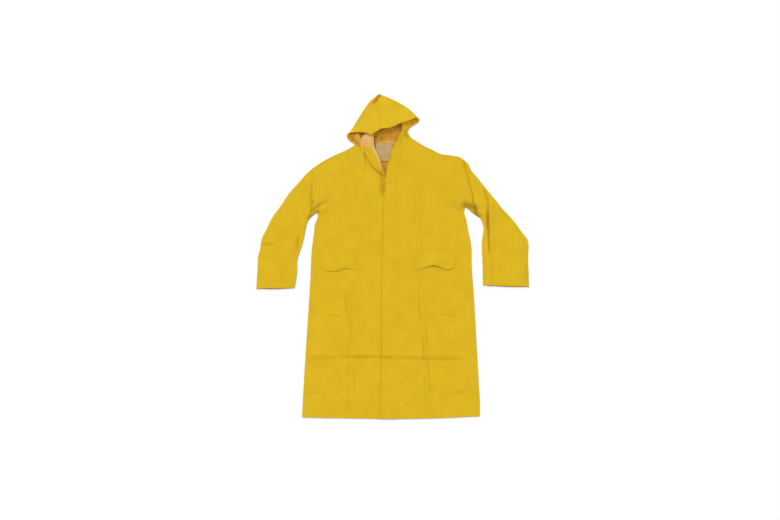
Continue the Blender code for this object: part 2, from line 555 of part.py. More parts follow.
def make_lapel():
    """The turned-out corner, and its facing: a strip made from the corner's points and moved out,
    whose end is cut at a slant."""
    rows = stations((1, LAPEL_STEPS[0]))
    grid = np.array([lapel_row(share) for share in rows])
    cloth("lapel_right", grid, LINING)
    strip = []
    for column in range(FACING_STEPS + 1):
        end = FACING_END - FACING_SLANT * column / FACING_STEPS
        at = np.linspace(0, end, LAPEL_STEPS[0] - 1)
        strip.append(np.stack([np.interp(at, rows, grid[:, column, k]) for k in range(3)], -1))
    strip = np.stack(strip, 1)
    lean = np.gradient(strip[..., 2], axis=1) / np.linalg.norm(np.gradient(strip[..., :2], axis=1), axis=2)
    strip[..., 2] += (LAYER + FACING_CLEAR) * np.sqrt(1 + lean ** 2)
    cloth("facing_right", strip, YELLOW)


def make_flap(name, sides, edge):
    line = smooth_line(edge)
    down, across = stations((1, FLAP_STEPS[0]))[::-1, None], stations((1, FLAP_STEPS[1]))
    x = sides[0] + across * (sides[1] - sides[0])
    foot, lift = (np.interp(x, line[:, 0], line[:, k]) for k in (1, 2))
    corner = np.clip(x, line[0, 0], line[-1, 0])
    plan = np.dstack([(1 - down) * x + down * corner, (1 - down) * FLAP_TOP + down * foot])
    height = front_height(plan[..., 0], plan[..., 1]) + LAYER + FLAP_STITCH_RISE + lift * ease(down)
    sheet(name, plan, height, YELLOW)


def make_label():
    at = stations((1, LABEL_STEPS))
    x = LABEL_LOW.x + at * (LABEL_HIGH.x - LABEL_LOW.x)
    y = LABEL_LOW.y + at * (LABEL_HIGH.y - LABEL_LOW.y)
    plan = np.dstack(np.meshgrid(x, y))
    sheet("label", plan, np.full(plan.shape[:2], CLOTH + GAP + LABEL_WALL), OFF_WHITE, wall=LABEL_WALL)


def make_drawstring(name, route):
    """A round cord along its route, with closed ends."""
    line = smooth_line(route, steps=3)
    curve = bpy.data.curves.new(name, "CURVE")
    curve.dimensions = "3D"
    curve.bevel_depth = CORD_DIAMETER / 2 * MM
    curve.bevel_resolution = 2
    curve.use_fill_caps = True
    spline = curve.splines.new("POLY")
    spline.points.add(len(line) - 1)
    for point, place in zip(spline.points, line):
        point.co = (*(place * MM), 1)
    curve.materials.append(material(name, CREAM, 0.8))
    COAT.objects.link(bpy.data.objects.new(name, curve))


def main():
    make_back()
    make_front_right()
    make_front_left()
    make_sleeve("sleeve_right", ARMHOLE_RIGHT, CUFF_RIGHT, SLEEVE_RIGHT_INNER, SLEEVE_RIGHT_OUTER)
    make_sleeve("sleeve_left", ARMHOLE_LEFT, CUFF_LEFT, SLEEVE_LEFT_INNER, SLEEVE_LEFT_OUTER, SLEEVE_PLEAT)
    make_hood_half("hood_left", Hood(1, front_left_height, NECK_FRONT_LEFT, BRIM_LEFT, TIP_LEFT, UNDER_LEFT,
                                     NECK_EDGE_LEFT, SLOPE_LEFT, FOLD_TIP_LEFT, FOLD_NECK_LEFT))
    make_hood_half("hood_right", Hood(-1, front_height, NECK_FRONT_RIGHT, BRIM_RIGHT, TIP_RIGHT, UNDER_RIGHT,
                                      NECK_EDGE_RIGHT, SLOPE_RIGHT, FOLD_TIP_RIGHT, FOLD_NECK_RIGHT))
    make_lapel()
    make_flap("pocket_flap_right", FLAP_RIGHT_SIDES, FLAP_RIGHT_EDGE)
    make_flap("pocket_flap_left", FLAP_LEFT_SIDES, FLAP_LEFT_EDGE)
    make_label()
    make_drawstring("drawstring_right", DRAWSTRING_RIGHT)
    make_drawstring("drawstring_left", DRAWSTRING_LEFT)


for old in list(bpy.data.objects):
    bpy.data.objects.remove(old, do_unlink=True)
COAT = bpy.data.collections.new("hooded_raincoat")
bpy.context.scene.collection.children.link(COAT)
main()
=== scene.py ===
"""Looks of a hooded raincoat that lies flat and face up.

The coat lies on the plane z = 0, hood towards +Y. Right and left are the wearer's: the right half is
at -X. Tables and grids of points are in millimetres, meshes and settings in metres.
"""

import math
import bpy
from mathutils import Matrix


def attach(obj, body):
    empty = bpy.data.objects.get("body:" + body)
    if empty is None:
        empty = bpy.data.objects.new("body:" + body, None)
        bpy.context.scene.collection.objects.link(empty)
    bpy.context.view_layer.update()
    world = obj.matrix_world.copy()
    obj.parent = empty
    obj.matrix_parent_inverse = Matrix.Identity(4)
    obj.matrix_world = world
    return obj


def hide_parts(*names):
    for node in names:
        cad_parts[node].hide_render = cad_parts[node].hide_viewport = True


bl_info = {
    "name": "Hooded raincoat",
    "version": (1, 0, 0),
    "blender": (4, 5, 0),
    "location": "3D View > Sidebar > Raincoat",
    "description": "Cloth, stitches, cord and stage of a raincoat laid out flat",
    "category": "Add Mesh",
}

from collections import namedtuple

import bpy
import numpy as np
from bpy.props import FloatProperty, FloatVectorProperty, PointerProperty
from mathutils import Vector, noise

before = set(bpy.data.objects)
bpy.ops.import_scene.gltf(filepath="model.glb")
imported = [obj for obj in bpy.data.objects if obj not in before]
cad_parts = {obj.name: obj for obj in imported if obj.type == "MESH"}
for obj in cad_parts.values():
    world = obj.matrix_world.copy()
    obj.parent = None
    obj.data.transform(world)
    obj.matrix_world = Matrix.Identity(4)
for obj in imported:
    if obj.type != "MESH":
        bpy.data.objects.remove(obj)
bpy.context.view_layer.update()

MM = 0.001

# -------- driving sizes, in mm
CLOTH = 1.2            # wall of the coated cloth
GAP = 0.3              # clearance between neighbouring pieces
SEAM = 0.05            # how far each cut edge stays back from a seam line
LOFT = 1.5             # how far the fronts stand off the back, away from the seams
LOFT_REACH = 90.0      # distance from a seam over which the loft builds up
LAYER = CLOTH + GAP    # one layer of cloth and its clearance
LAP_END = -5.0         # the left front comes down off the right front from here
LAP_RUN = 45.0         # over this width
LAP_COVER = -72.0      # and the right front begins to run smooth under it here
ROLL_FOOT = 328.0      # height on the front edge where the turned-out corner begins
NECK_LIFT = 2.2        # the fronts stand up a little at the neck opening
NECK_MIDDLE = -30.0    # about this line
NECK_REACH = 60.0
OPENING_FOOT = 362.0   # lowest point of the neck opening
OPENING_TOP = 478.0
SLEEVE_FOLD = 3.4      # height of a sleeve at its two folded edges
SLEEVE_LOFT = 1.8
FACING_WIDTH = 34.0
FACING_WALL = 0.8
LAPEL_REST = 0.4       # the turned-out corner lies this far clear of the front
LAPEL_CREST = 5.0      # and stands up by this much beside its fold
LAPEL_CLIMB = 3.5      # it rises this much over the hood's neck
LABEL_WALL = 1.0
CORD_DIAMETER = 4.0
HEM_SIDE_SHARE = 0.78  # share of a panel's side that lies below the armpit
FLAP_TOP = 29.0
FLAP_WALL = 0.45

HEM_TURN = 29.0        # depth of the turned-up hem
CUFF_TURN = 26.0
TUNNEL = 24.0          # width of the cord tunnel round the face opening
TURN_RISE = 0.55       # a turned-up hem is this much thicker
GROOVE = 0.45          # depth and half width of the groove that a row of stitches pulls in
GROOVE_WIDTH = 2.2
EDGE_ROW = 6.0         # a row of stitches runs this far in from a made-up edge
SEAM_BAND = 9.0        # width of the felled band beside the crown seam
SEAM_RISE = 0.45
SEAM_SHOWS = (604, 682)  # the crown seam's ridge and groove show between these two places
SEAM_FADE = 22

# -------- seam and edge lines, from tables
Spot = namedtuple("Spot", "x y")


def table(kind, *rows):
    """Rows of numbers as records of a kind, whose fields name the columns."""
    return [kind(*row) for row in rows]


HEM = table(Spot, (-408, -723), (-300, -726), (-180, -727.5), (-60, -730.3), (90, -729.5), (250, -725),
            (391, -718.5))

SIDE_RIGHT = table(Spot, (-408, -723), (-397.5, -529), (-383.5, -313), (-370.5, -110), (-362.8, 40),
                   (-353.5, 108), (-349.5, 146), (-338.5, 172), (-337, 188), (-341.5, 198))
SIDE_LEFT = table(Spot, (391, -718.5), (392.5, -682), (388, -583), (376, -367), (363.5, -151),
                  (355.5, -45), (353, 52), (339.5, 119), (329.5, 173), (321, 203), (325.5, 220))

ARMHOLE_RIGHT = table(Spot, (-341.5, 198), (-356, 206), (-363, 221), (-363.5, 245), (-366, 285),
                      (-365, 330), (-360.5, 396))
ARMHOLE_LEFT = table(Spot, (325.5, 220), (346, 233), (359, 256), (356.5, 288), (348, 320), (341, 350),
                     (334, 375), (326, 400), (321.3, 434))

SHOULDER_RIGHT = table(Spot, (-360.5, 396), (-314.6, 427), (-264, 454), (-232, 468), (-203, 481),
                       (-170.5, 500.8))
SHOULDER_LEFT = table(Spot, (321.3, 434), (307, 444.5), (266, 454), (210, 463), (179, 480),
                      (145, 495.8), (122.4, 509), (88.5, 529.5))

NECK_BACK = table(Spot, (-170.5, 500.8), (-105, 505), (-36.5, 512), (30, 519), (88.5, 529.5))
NECK_FRONT_RIGHT = table(Spot, (-170.5, 500.8), (-130, 491), (-79.2, 488))
NECK_FRONT_LEFT = table(Spot, (-8.6, 478), (45, 497), (88.5, 529.5))

EDGE_LEFT = table(Spot, (-60, -730.3), (-54, -583), (-51, -461), (-50, -133), (-46, 60), (-42.5, 190),
                  (-37.8, 286), (-31.5, 362))
OPENING_LEFT = table(Spot, (-31.5, 362), (-24, 395), (-15, 449), (-8.6, 478))
EDGE_RIGHT = table(Spot, (-12, -730.6), (-12, -200), (-12, ROLL_FOOT))
ROLL_LINE = table(Spot, (-12, ROLL_FOOT), (-38, 383), (-57, 430), (-79.2, 488))

SLEEVE_RIGHT_OUTER = table(Spot, (-360.5, 396), (-385, 374.5), (-420.5, 335), (-468, 281),
                           (-504.5, 227), (-543, 173), (-569.5, 119), (-589, 79), (-594, 50),
                           (-597, 30), (-604, 8), (-608.5, -56), (-613.8, -145))
SLEEVE_RIGHT_INNER = table(Spot, (-341.5, 198), (-355, 187.5), (-373.5, 171), (-384.5, 149),
                           (-391, 124), (-400, 79), (-415.5, 26), (-428, -14), (-428.8, -56),
                           (-433, -97), (-441.5, -141.5))
SLEEVE_LEFT_OUTER = table(Spot, (321.3, 434), (340, 416.5), (353, 389), (375.5, 362), (418.5, 308),
                          (463.5, 254), (496, 213.5), (545, 160), (584.5, 106), (605, 79), (610.5, 62),
                          (609, 8), (611, -56), (613.8, -137))
SLEEVE_LEFT_INNER = table(Spot, (325.5, 220), (338, 215), (352, 202), (374, 186), (392, 173.5),
                          (403, 153), (408.5, 130), (404.5, 92), (401, 52), (404, -16), (406, -128))
CUFF_RIGHT = table(Spot, (-441.5, -141.5), (-530, -146.5), (-613.8, -145))
CUFF_LEFT = table(Spot, (406, -128), (510, -136), (613.8, -137))

# The hood. Height is that of the cloth's outer side. Along a fold it is the height of the fold.
Rise = namedtuple("Rise", "x y height")

CROWN_SEAM = table(Rise, (-60.3, 729.9, 4.6), (-62.6, 686, 11.5), (-54, 617, 20), (-50, 574.5, 23))
BACK_SEAM = table(Spot, (-60.3, 728.4), (-50, 640), (-42, 585), (-36.5, 512))

BRIM_LEFT = table(Rise, (-50, 574.5, 23), (-8.6, 579.5, 22), (33.3, 597.5, 19), (75, 611, 14.5),
                  (103, 623, 10.5))
TIP_LEFT = table(Rise, (103, 623, 10.5), (109, 621.5, 9), (106, 618, 8))
UNDER_LEFT = table(Rise, (106, 618, 8), (76, 613.5, 10), (42.3, 600, 12))
NECK_EDGE_LEFT = table(Rise, (42.3, 600, 12), (44.5, 575, 11.5), (34.5, 553, 11), (21.5, 528, 10),
                       (13, 506, 8.6), (-8.6, 478, 7))
SLOPE_LEFT = table(Rise, (-57, 729.6, 4), (-14, 712.5, 4), (39.5, 685.5, 4.5), (79, 659, 5),
                   (106.5, 633, 6), (116.5, 623, 7))
FOLD_TIP_LEFT = table(Rise, (116.5, 623, 7), (119.5, 615.5, 7), (115, 606.5, 6))
FOLD_NECK_LEFT = table(Rise, (115, 606.5, 6), (97.5, 594, 5), (79, 581, 4.5), (69.5, 565.5, 4),
                       (73, 549, 3.6), (88.5, 529.5, 3.2))

BRIM_RIGHT = table(Rise, (-50, 574.5, 23), (-62, 568, 23), (-79, 558, 23), (-96, 547, 22.5),
                   (-116.6, 554.5, 19.5), (-150, 558, 14.5), (-184, 557, 10))
TIP_RIGHT = table(Rise, (-184, 557, 10), (-194, 553.5, 8), (-191, 549, 5.6))
UNDER_RIGHT = table(Rise, (-191, 549, 5.6), (-140, 543, 4.6), (-86, 547, 4.8))
NECK_EDGE_RIGHT = table(Rise, (-86, 547, 4.8), (-84, 515, 4.6), (-79.2, 488, 4.4))
SLOPE_RIGHT = table(Rise, (-63.6, 729.5, 4), (-101, 699, 4), (-130, 659.3, 4.5), (-155.5, 618.8, 5),
                    (-181, 578.3, 6), (-191, 562, 7))
FOLD_TIP_RIGHT = table(Rise, (-191, 562, 7), (-207, 544, 6), (-202, 529, 5))
FOLD_NECK_RIGHT = table(Rise, (-202, 529, 5), (-190.5, 518, 4.2), (-175.5, 508, 3.6),
                        (-170.5, 500.8, 3.2))

# Shares of a hood half's length, from the crown's tip to the neck seam.
HOOD_SHARES = (0.34, 0.28, 0.06, 0.12, 0.20)
CROWN_SHARE, NECK_SHARE = HOOD_SHARES[0], HOOD_SHARES[-1]

# The turned-out corner of the right front.
LAPEL_FREE = table(Spot, (-36, 361), (-56, 375), (-79, 396), (-96, 419), (-110, 442), (-139, 489),
                   (-153, 509), (-172, 530))
LAPEL_ROLL = table(Spot, (-31, 367), (-50, 412), (-57, 436), (-68, 464), (-81, 492), (-85, 520),
                   (-84, 562))
LAPEL_TOP = (table(Spot, (-172, 530), (-171, 544), (-165, 552), (-151, 554)),
             table(Spot, (-151, 554), (-144, 529)),
             table(Spot, (-144, 529), (-134, 539), (-121, 554)),
             table(Spot, (-121, 554), (-84, 560)))
FACING_TOP_SHARE = 0.31  # the facing takes this share of the corner's top
LAPEL_TOP_FROM = 0.7   # the shaped top begins at this share of the corner's length
LAPEL_TOP_EDGE = 0.07  # and at the free edge it comes in over this share of the width
CREST_FROM = 0.8       # the corner rises over this share of its width
CREST_AT = 0.72        # the crest lies at this share of the corner's width
CREST_REACH = 0.34     # and comes down again over this share
FULL_WIDTH = 70.0      # where the corner is narrower, its crest is lower
CLIMB_REACH = 40.0     # the corner climbs onto the hood's neck over this length
FACING_MOST = 0.76     # the facing takes no more than this share of the corner's width
FACING_END = 0.82      # it stops at this share of the corner's length on its free edge
FACING_SLANT = 0.14    # and this much earlier on its inner edge

# Pocket flaps: the free lower edge, a row for each point, with its lift off the front.
Edge = namedtuple("Edge", "x y lift")

FLAP_RIGHT_SIDES = (-320.0, -160.0)
FLAP_RIGHT_EDGE = table(Edge, (-314, -50, 0.6), (-300, -62, 1.5), (-270, -65, 2), (-242, -63, 2),
                        (-225, -55, 2.4), (-197, -54, 1.8), (-175, -60, 0.6), (-160, -58, 0.3))
FLAP_LEFT_SIDES = (99.0, 284.0)
FLAP_LEFT_EDGE = table(Edge, (99, -56, 0.3), (119, -60, 0.4), (142, -51, 2), (166, -43, 4),
                       (190, -39, 5.5), (212, -46, 4.5), (234, -57, 2.5), (263, -57, 1.8),
                       (277, -49, 1.2), (283, -28, 0.6))

LABEL_LOW = Spot(-74, 429)
LABEL_HIGH = Spot(-3, 511)

DRAWSTRING_RIGHT = table(Rise, (-137.5, 512, 9.4), (-135.5, 500, 9.2), (-134.5, 488, 9.3),
                         (-133.8, 476, 9.3), (-133, 466, 8.6), (-132.6, 456, 7.2), (-132, 444, 6.5),
                         (-131.6, 430, 6.45), (-131.1, 412, 6.55), (-130.6, 396, 6.55))
DRAWSTRING_LEFT = table(Rise, (42.5, 604, 14.2), (43.5, 598.5, 14.3), (45.5, 592, 14), (48, 583, 13.5),
                        (50, 574, 12.6), (51.5, 565, 11.1))

# -------- creases
# A crease runs from (x0, y0) to (x1, y1) and bows sideways by bow. Height is positive for a ridge and
# negative for a trough. Crisp is 0 for a soft fold and 1 for a pressed one. Tint is how much painted
# shade, in the deeper colour of a fold, it shows.
Crease = namedtuple("Crease", "x0 y0 x1 y1 bow width height crisp tint")

RIGHT_FOLD = table(Crease, (-206, -100, -191, -715, 4, 10, 2.2, 0.3, 0))
LEFT_FOLDS = table(
    Crease,
    (108, 470, 124, -205, -3, 12, 2.0, 0.3, 0),
    (126, -150, 150, -470, 2, 11, 2.2, 0.3, 0))
LOW_FOLDS = table(
    Crease,
    (143, -400, 162, -715, 2, 11, 2.2, 0.3, 0),
    (-400, -442, 385, -445, 2, 12, 1.6, 0.3, 0))
PRESSED = RIGHT_FOLD + LEFT_FOLDS + LOW_FOLDS
FRONT_CREASES = PRESSED + table(
    Crease,
    # beside the upright folds
    (-218, -128, -201, -360, 4, 5, -1.5, 0.6, 0.32),
    (-203, -330, -196, -560, -2, 5, -1.2, 0.6, 0.24),
    (-199, -540, -203, -716, 2, 5, -1.0, 0.6, 0.21),
    (-193, -230, -184, -420, 2, 5, -1.0, 0.5, 0.17),
    (-174, -480, -171, -650, 2, 5, -1.0, 0.5, 0.21),
    (-147, -190, -149, -315, 1, 5, -0.9, 0.5, 0.17),
    (-161, -390, -158, -470, 1, 5, -0.7, 0.4, 0.1),
    (101, 470, 106, 100, -2, 5, -0.9, 0.4, 0.15),
    (106, 130, 116, -120, 2, 5, -1.0, 0.4, 0.17),
    (117, -80, 131, -330, -2, 5, -1.5, 0.6, 0.28),
    (130, -300, 143, -520, 2, 5, -1.5, 0.6, 0.28),
    (141, -490, 153, -716, 2, 5, -1.2, 0.6, 0.21),
    (150, -270, 158, -460, -2, 5, -1.0, 0.5, 0.17),
    (156, -430, 170, -716, 2, 5, -1.2, 0.5, 0.21),
    (-160, 372, -163, 236, 3, 8, -1.2, 0.2, 0.07),
    (-210, 318, -207, 262, 2, 7, -0.9, 0.2, 0.07),
    # across the skirt
    (-255, -455, 40, -456, 2, 8, -1.5, 0.3, 0.21),
    (10, -458, 330, -460, -3, 8, -1.3, 0.2, 0.15),
    (-395, -452, -240, -458, -2, 9, -0.9, 0.2, 0.08),
    (213, -266, 292, -270, 3, 6, -1.2, 0.4, 0.21),
    (300, -148, 358, -152, -2, 7, -1.4, 0.3, 0.21),
    (-290, -266, -224, -274, 3, 6, -1.2, 0.4, 0.21),
    (-396, -619, -326, -616, 3, 8, -1.4, 0.2, 0.14),
    (262, -612, 350, -606, -4, 8, -1.5, 0.2, 0.14),
    (-372, -196, -300, -202, 4, 9, -0.8, 0.1, 0.06),
    (-120, -575, -30, -560, 4, 10, 0.9, 0.0, 0),
    (-372, -300, -300, -285, 4, 10, 0.9, 0.1, 0),
    (190, -380, 300, -350, -6, 12, 0.9, 0.0, 0),
    (-330, -520, -240, -545, 5, 12, 0.9, 0.0, 0),
    (20, -640, 110, -600, 5, 10, 0.8, 0.0, 0),
    # chest and shoulders
    (-366, 204, -318, 243, -4, 5, -3.0, 0.6, 0.3),
    (-332, 236, -280, 256, -5, 8, -1.8, 0.3, 0.21),
    (-306, 258, -262, 318, -3, 9, -1.6, 0.3, 0.14),
    (-344, 192, -290, 232, -6, 9, 2.2, 0.2, 0),
    (-338, 176, -326, 140, -3, 7, -1.6, 0.3, 0.32),
    (-330, 252, -250, 334, -6, 10, 1.6, 0.2, 0),
    (322, 222, 262, 252, 6, 12, -2.0, 0.1, 0.14),
    (318, 186, 255, 226, 6, 11, 1.4, 0.1, 0),
    (326, 178, 318, 140, 3, 7, -1.6, 0.2, 0.24),
    (-300, 420, -262, 350, 4, 12, 0.9, 0.0, 0),
    (240, 448, 262, 360, -5, 13, 0.9, 0.0, 0),
    (-56, 404, -47, 252, 3, 14, -2.4, 0.1, 0.62),
    (-84, 372, -92, 250, 6, 12, 1.2, 0.0, 0),
    (24, 470, 30, 380, 5, 9, -0.9, 0.2, 0.07),
    (-6, 470, -16, 420, 2, 6, -1.0, 0.2, 0.24),
    (52, 478, 60, 400, 5, 10, 1.1, 0.1, 0),
    (-300, 60, -210, 70, 5, 10, -0.7, 0.2, 0.03),
    (130, 62, 260, 70, -5, 12, 0.7, 0.1, 0))
SLEEVE_CREASES = table(
    Crease,
    # right sleeve
    (-362, 235, -378, 168, 2, 5, -3.2, 0.6, 0.7),
    (-374, 312, -377, 214, 3, 5, -1.6, 0.5, 0.24),
    (-369, 320, -371, 200, 2, 4, 1.2, 0.3, 0),
    (-391, 334, -389, 262, 3, 6, -1.2, 0.3, 0.14),
    (-398, 200, -410, 60, 5, 9, 1.4, 0.1, 0),
    (-418, 104, -424, 10, -5, 6, -2.2, 0.4, 0.32),
    (-436, 100, -440, -20, -6, 8, 1.6, 0.2, 0),
    (-597, 56, -520, 40, 8, 8, -2.4, 0.3, 0.24),
    (-598, 28, -530, -6, -6, 10, 1.6, 0.2, 0),
    (-500, -60, -503, -136, 2, 6, -1.0, 0.4, 0.14),
    (-470, 240, -440, 120, 10, 14, 1.1, 0.0, 0),
    (-560, -30, -556, -130, 3, 9, 0.9, 0.2, 0),
    (-540, 120, -470, 60, -8, 12, -1.2, 0.1, 0.07),
    # left sleeve
    (355, 300, 390, 166, -4, 7, -4.2, 0.5, 0.7),
    (368, 296, 402, 168, -4, 8, 3.5, 0.2, 0),
    (372, 352, 410, 250, -6, 8, -1.2, 0.2, 0.07),
    (412, 318, 433, 236, -3, 6, -2.6, 0.4, 0.49),
    (432, 280, 428, 110, -1, 7, -4.6, 0.4, 0.4),
    (428, 200, 434, -20, 1, 7, -4.0, 0.4, 0.38),
    (445, 280, 442, 130, 1, 7, 2.8, 0.3, 0),
    (442, 180, 447, -10, 1, 7, 2.2, 0.3, 0),
    (418, 200, 412, 60, 2, 9, 1.2, 0.0, 0),
    (597, -20, 600, -130, 2, 6, -1.1, 0.5, 0.21),
    (520, 40, 600, 20, 6, 10, 1.0, 0.1, 0),
    (470, -40, 476, -126, 3, 9, 0.8, 0.1, 0),
    (500, 180, 540, 90, 7, 14, 1.0, 0.0, 0))
HOOD_CREASES = table(
    Crease,
    (-58, 730, -88, 686, 3, 5, -2.6, 0.5, 0.7),
    (-70, 728, -94, 692, 3, 5, 1.2, 0.2, 0),
    (-48, 712, -36, 650, 5, 8, 1.0, 0.1, 0),
    (-84, 690, -122, 610, -6, 12, 1.0, 0.1, 0),
    (-10, 690, 40, 640, 6, 12, -1.0, 0.1, 0.07),
    (20, 672, 84, 634, 5, 9, 0.9, 0.1, 0),
    (-150, 600, -176, 566, 3, 9, -1.1, 0.2, 0.07),
    (-118, 640, -96, 580, 5, 12, -0.9, 0.0, 0.03),
    (54, 556, 71, 526, 2, 6, -2.2, 0.5, 0.55),
    (66, 562, 76, 532, 3, 5, 1.2, 0.4, 0),
    (36, 540, 40, 490, -3, 6, -1.3, 0.3, 0.14),
    (58, 600, 66, 584, 2, 5, -1.6, 0.3, 0.14),
    (-150, 492, -138, 478, 1, 7, -1.5, 0.2, 0.42))
# Where the cloth hangs back from the light: a soft patch about a line.
Shade = namedtuple("Shade", "x0 y0 x1 y1 width depth")

SHADES = table(
    Shade,
    (326, 232, 372, 218, 15, 0.95),
    (368, 202, 388, 180, 9, 0.9),
    (300, 214, 316, 236, 11, 0.3),
    (-378, 172, -336, 202, 9, 0.9),
    (-362, 206, -330, 236, 8, 0.6),
    (-362, 250, -363, 238, 6, 0.5),
    (429, 200, 432, 100, 7, 0.6),
    (433, 90, 434, 10, 6, 0.1),
    (-62, 727, -54, 724, 7, 0.25),
    (-108, 690, -160, 606, 40, 0.22),
    (-28, 713, 60, 670, 4, 0.25),
    (-125, 456, -112, 452, 9, 0.4),
    (-125, 446, -122, 424, 11, 0.25),
    (-100, 420, -64, 380, 6, 0.45),
    (-134, 550, -144, 530, 6, 0.3))
# Painted shade: where the outer side takes on the deeper colour of a fold, at the hood's turned-in tip.
WARM_SHADE = table(
    Shade,
    (-61, 726, -76, 702, 8, 0.9),
    (-76, 702, -88, 692, 8, 0.6))
# The same painted shade on the layer of the hood that lies below its face edge.
WARM_SHADE_BELOW = table(
    Shade,
    (-190, 548, -176, 528, 13, 1.0),
    (-172, 526, -150, 498, 9, 0.65),
    (-134, 552, -144, 530, 8, 1.0),
    (-172, 548, -152, 553, 7, 0.8),
    (50, 596, 80, 603, 10, 0.8),
    (80, 603, 112, 616, 10, 0.95))
INNER_SHADES = table(
    Shade,
    (-54, 426, -20, 428, 5, 0.8),
    (-38, 404, -34, 368, 10, 0.45),
    (-78, 534, -76, 484, 7, 0.5),
    (-66, 546, -61, 512, 8, 0.35),
    (-50, 538, -49, 522, 4, 0.9),
    (-56, 566, -50, 556, 5, 0.3),
    (-40, 550, -40, 534, 5, 0.35),
    (-32, 560, -30, 536, 4, 0.2),
    (-8, 556, -4, 530, 4, 0.2),
    (30, 592, 38, 566, 8, 0.55),
    (24, 544, 18, 524, 5, 0.4),
    (4, 534, 10, 516, 4, 0.2),
    (-146, 556, -122, 553, 5, 0.3),
    (-196, 548, -170, 554, 8, 0.3))
# Where less of the inside's painted shade is laid on, so the knit shows paler: in streaks and on the neck
# tape.
INNER_LIGHTS = table(
    Shade,
    (-50, 556, -68, 522, 5, 0.25),
    (-66, 514, 14, 513, 7, 0.5))
# Where light comes through the cloth, close below the face edge of the hood.
THROUGH = table(
    Shade,
    (-84, 553, -66, 556, 7, 0.9),
    (-66, 561, -36, 568, 6, 0.6),
    (-36, 570, 4, 577, 7, 0.9),
    (4, 580, 36, 592, 6, 0.6),
    (46, 601, 70, 605, 6, 0.6),
    (-190, 553, -166, 552, 6, 0.5),
    (-106, 547, -86, 549, 6, 0.5))

# How uneven a crease is along its run: its line and its width stray by a share of its width, its
# strength by a share of itself, each over its own pitch, and its ends fade out.
STRAY = 0.25
STRENGTH, STRENGTH_STRAY = 0.8, 0.3
STRAY_PITCH, WIDTH_PITCH, STRENGTH_PITCH = 60, 45, 50
WIDTH_SEED, STRENGTH_SEED = 100, 200
FADE_MOST, FADE_SHARE = 60, 0.35
SEEDS = 64             # knots in each uneven run

# The slight unevenness of cloth that has been folded up and laid out again: lumps of three sizes.
Swell = namedtuple("Swell", "rise size seed")

SWELLS = table(Swell, (1.3, 150, 0), (0.45, 48, 7.3), (0.12, 17, 3.1))

# How strongly each armhole seam pulls in: at the shoulder, in the middle and from which share of its
# line, counted from the armpit.
Pull = namedtuple("Pull", "line shoulder middle start width")

PULLS = table(Pull, (ARMHOLE_RIGHT, 0.12, 0.95, 0.18, 4.5), (ARMHOLE_LEFT, 0.9, 1.0, 0.3, 5.5))
PULL_LEAST = 0.15      # strength of the pull at the armpit
PULL_DEPTH = 0.9       # a full pull lowers the cloth by this
ARMHOLE_SHADE = 0.42    # share of the folds' painted shade in the pulled-in seam
EDGE_SHADOW, EDGE_SHADOW_WIDTH = 0.25, 3.5  # painted shadow along the left front's edge

BACK_SHARE = 0.5       # share of the creases' and swells' height that shows on the back panel
BACK_LIFT = 0.9        # which they lift by this at most
BACK_SEED = 40.0
FREE_REACH = 30        # creases come in over this distance from the seams
TURN_END = 3           # a turned-up hem's thickness ends over this distance


# -------- curves and fields
def ease(t):
    t = np.clip(t, 0, 1)
    return t * t * (3 - 2 * t)


def smooth_line(rows, steps=24):
    """A dense line of points on a smooth curve through the rows."""
    pts = np.array([tuple(row) for row in rows], float)
    chord = np.linalg.norm(np.diff(pts[:, :2], axis=0), axis=1)
    slope = np.diff(pts, axis=0) / chord[:, None]
    tangent = np.vstack([slope[:1], slope[-1:]])
    if len(pts) > 2:
        before, after = chord[:-1, None], chord[1:, None]
        middle = (slope[:-1] * after + slope[1:] * before) / (before + after)
        tangent = np.vstack([slope[:1], middle, slope[-1:]])
    line = [pts[:1]]
    for k, length in enumerate(chord):
        t = np.linspace(0, 1, steps + 1)[1:, None]
        line.append((2 * t**3 - 3 * t**2 + 1) * pts[k] + (t**3 - 2 * t**2 + t) * length * tangent[k]
                    + (3 * t**2 - 2 * t**3) * pts[k + 1] + (t**3 - t**2) * length * tangent[k + 1])
    return np.vstack(line)


def walk(line, share):
    """Points at the given shares of a line's length."""
    gone = np.concatenate([[0], np.cumsum(np.linalg.norm(np.diff(line[:, :2], axis=0), axis=1))])
    at = np.asarray(share) * gone[-1]
    return np.stack([np.interp(at, gone, line[:, k]) for k in range(line.shape[1])], -1)


def seam(*runs):
    """A boundary made of smooth runs that meet at corners, each with its share of the whole."""
    lines = [smooth_line(rows) for _, rows in runs]
    ends = np.concatenate([[0], np.cumsum([share for share, _ in runs])])

    def at(t):
        t = np.asarray(t, float)
        run = np.clip(np.searchsorted(ends, t, side="right") - 1, 0, len(lines) - 1)
        points = np.zeros(t.shape + (lines[0].shape[1],))
        for k, line in enumerate(lines):
            here = run == k
            points[here] = walk(line, (t[here] - ends[k]) / (ends[k + 1] - ends[k]))
        return points
    return at


def hem_between(x0, x1):
    """The part of the hem between two places, as rows."""
    line = smooth_line(HEM)
    return [Spot(x, np.interp(x, line[:, 0], line[:, 1])) for x in np.linspace(x0, x1, 7)]


def stations(*runs):
    """Grid stations from 0 to 1: each run has its share and its number of steps."""
    ends = [0.0]
    for share, steps in runs:
        start = ends[-1]
        ends += [start + share * (k + 1) / steps for k in range(steps)]
    return np.array(ends)


def spaced(length, *corners):
    """Stations from 0 to 1 at the grid's pitch on a line of that length, with one at each corner."""
    pitch = bpy.context.scene.raincoat_cloth.pitch / MM * 1
    ends = [0, *corners, 1]
    return stations(*((b - a, max(2, round((b - a) * length / pitch))) for a, b in zip(ends, ends[1:])))


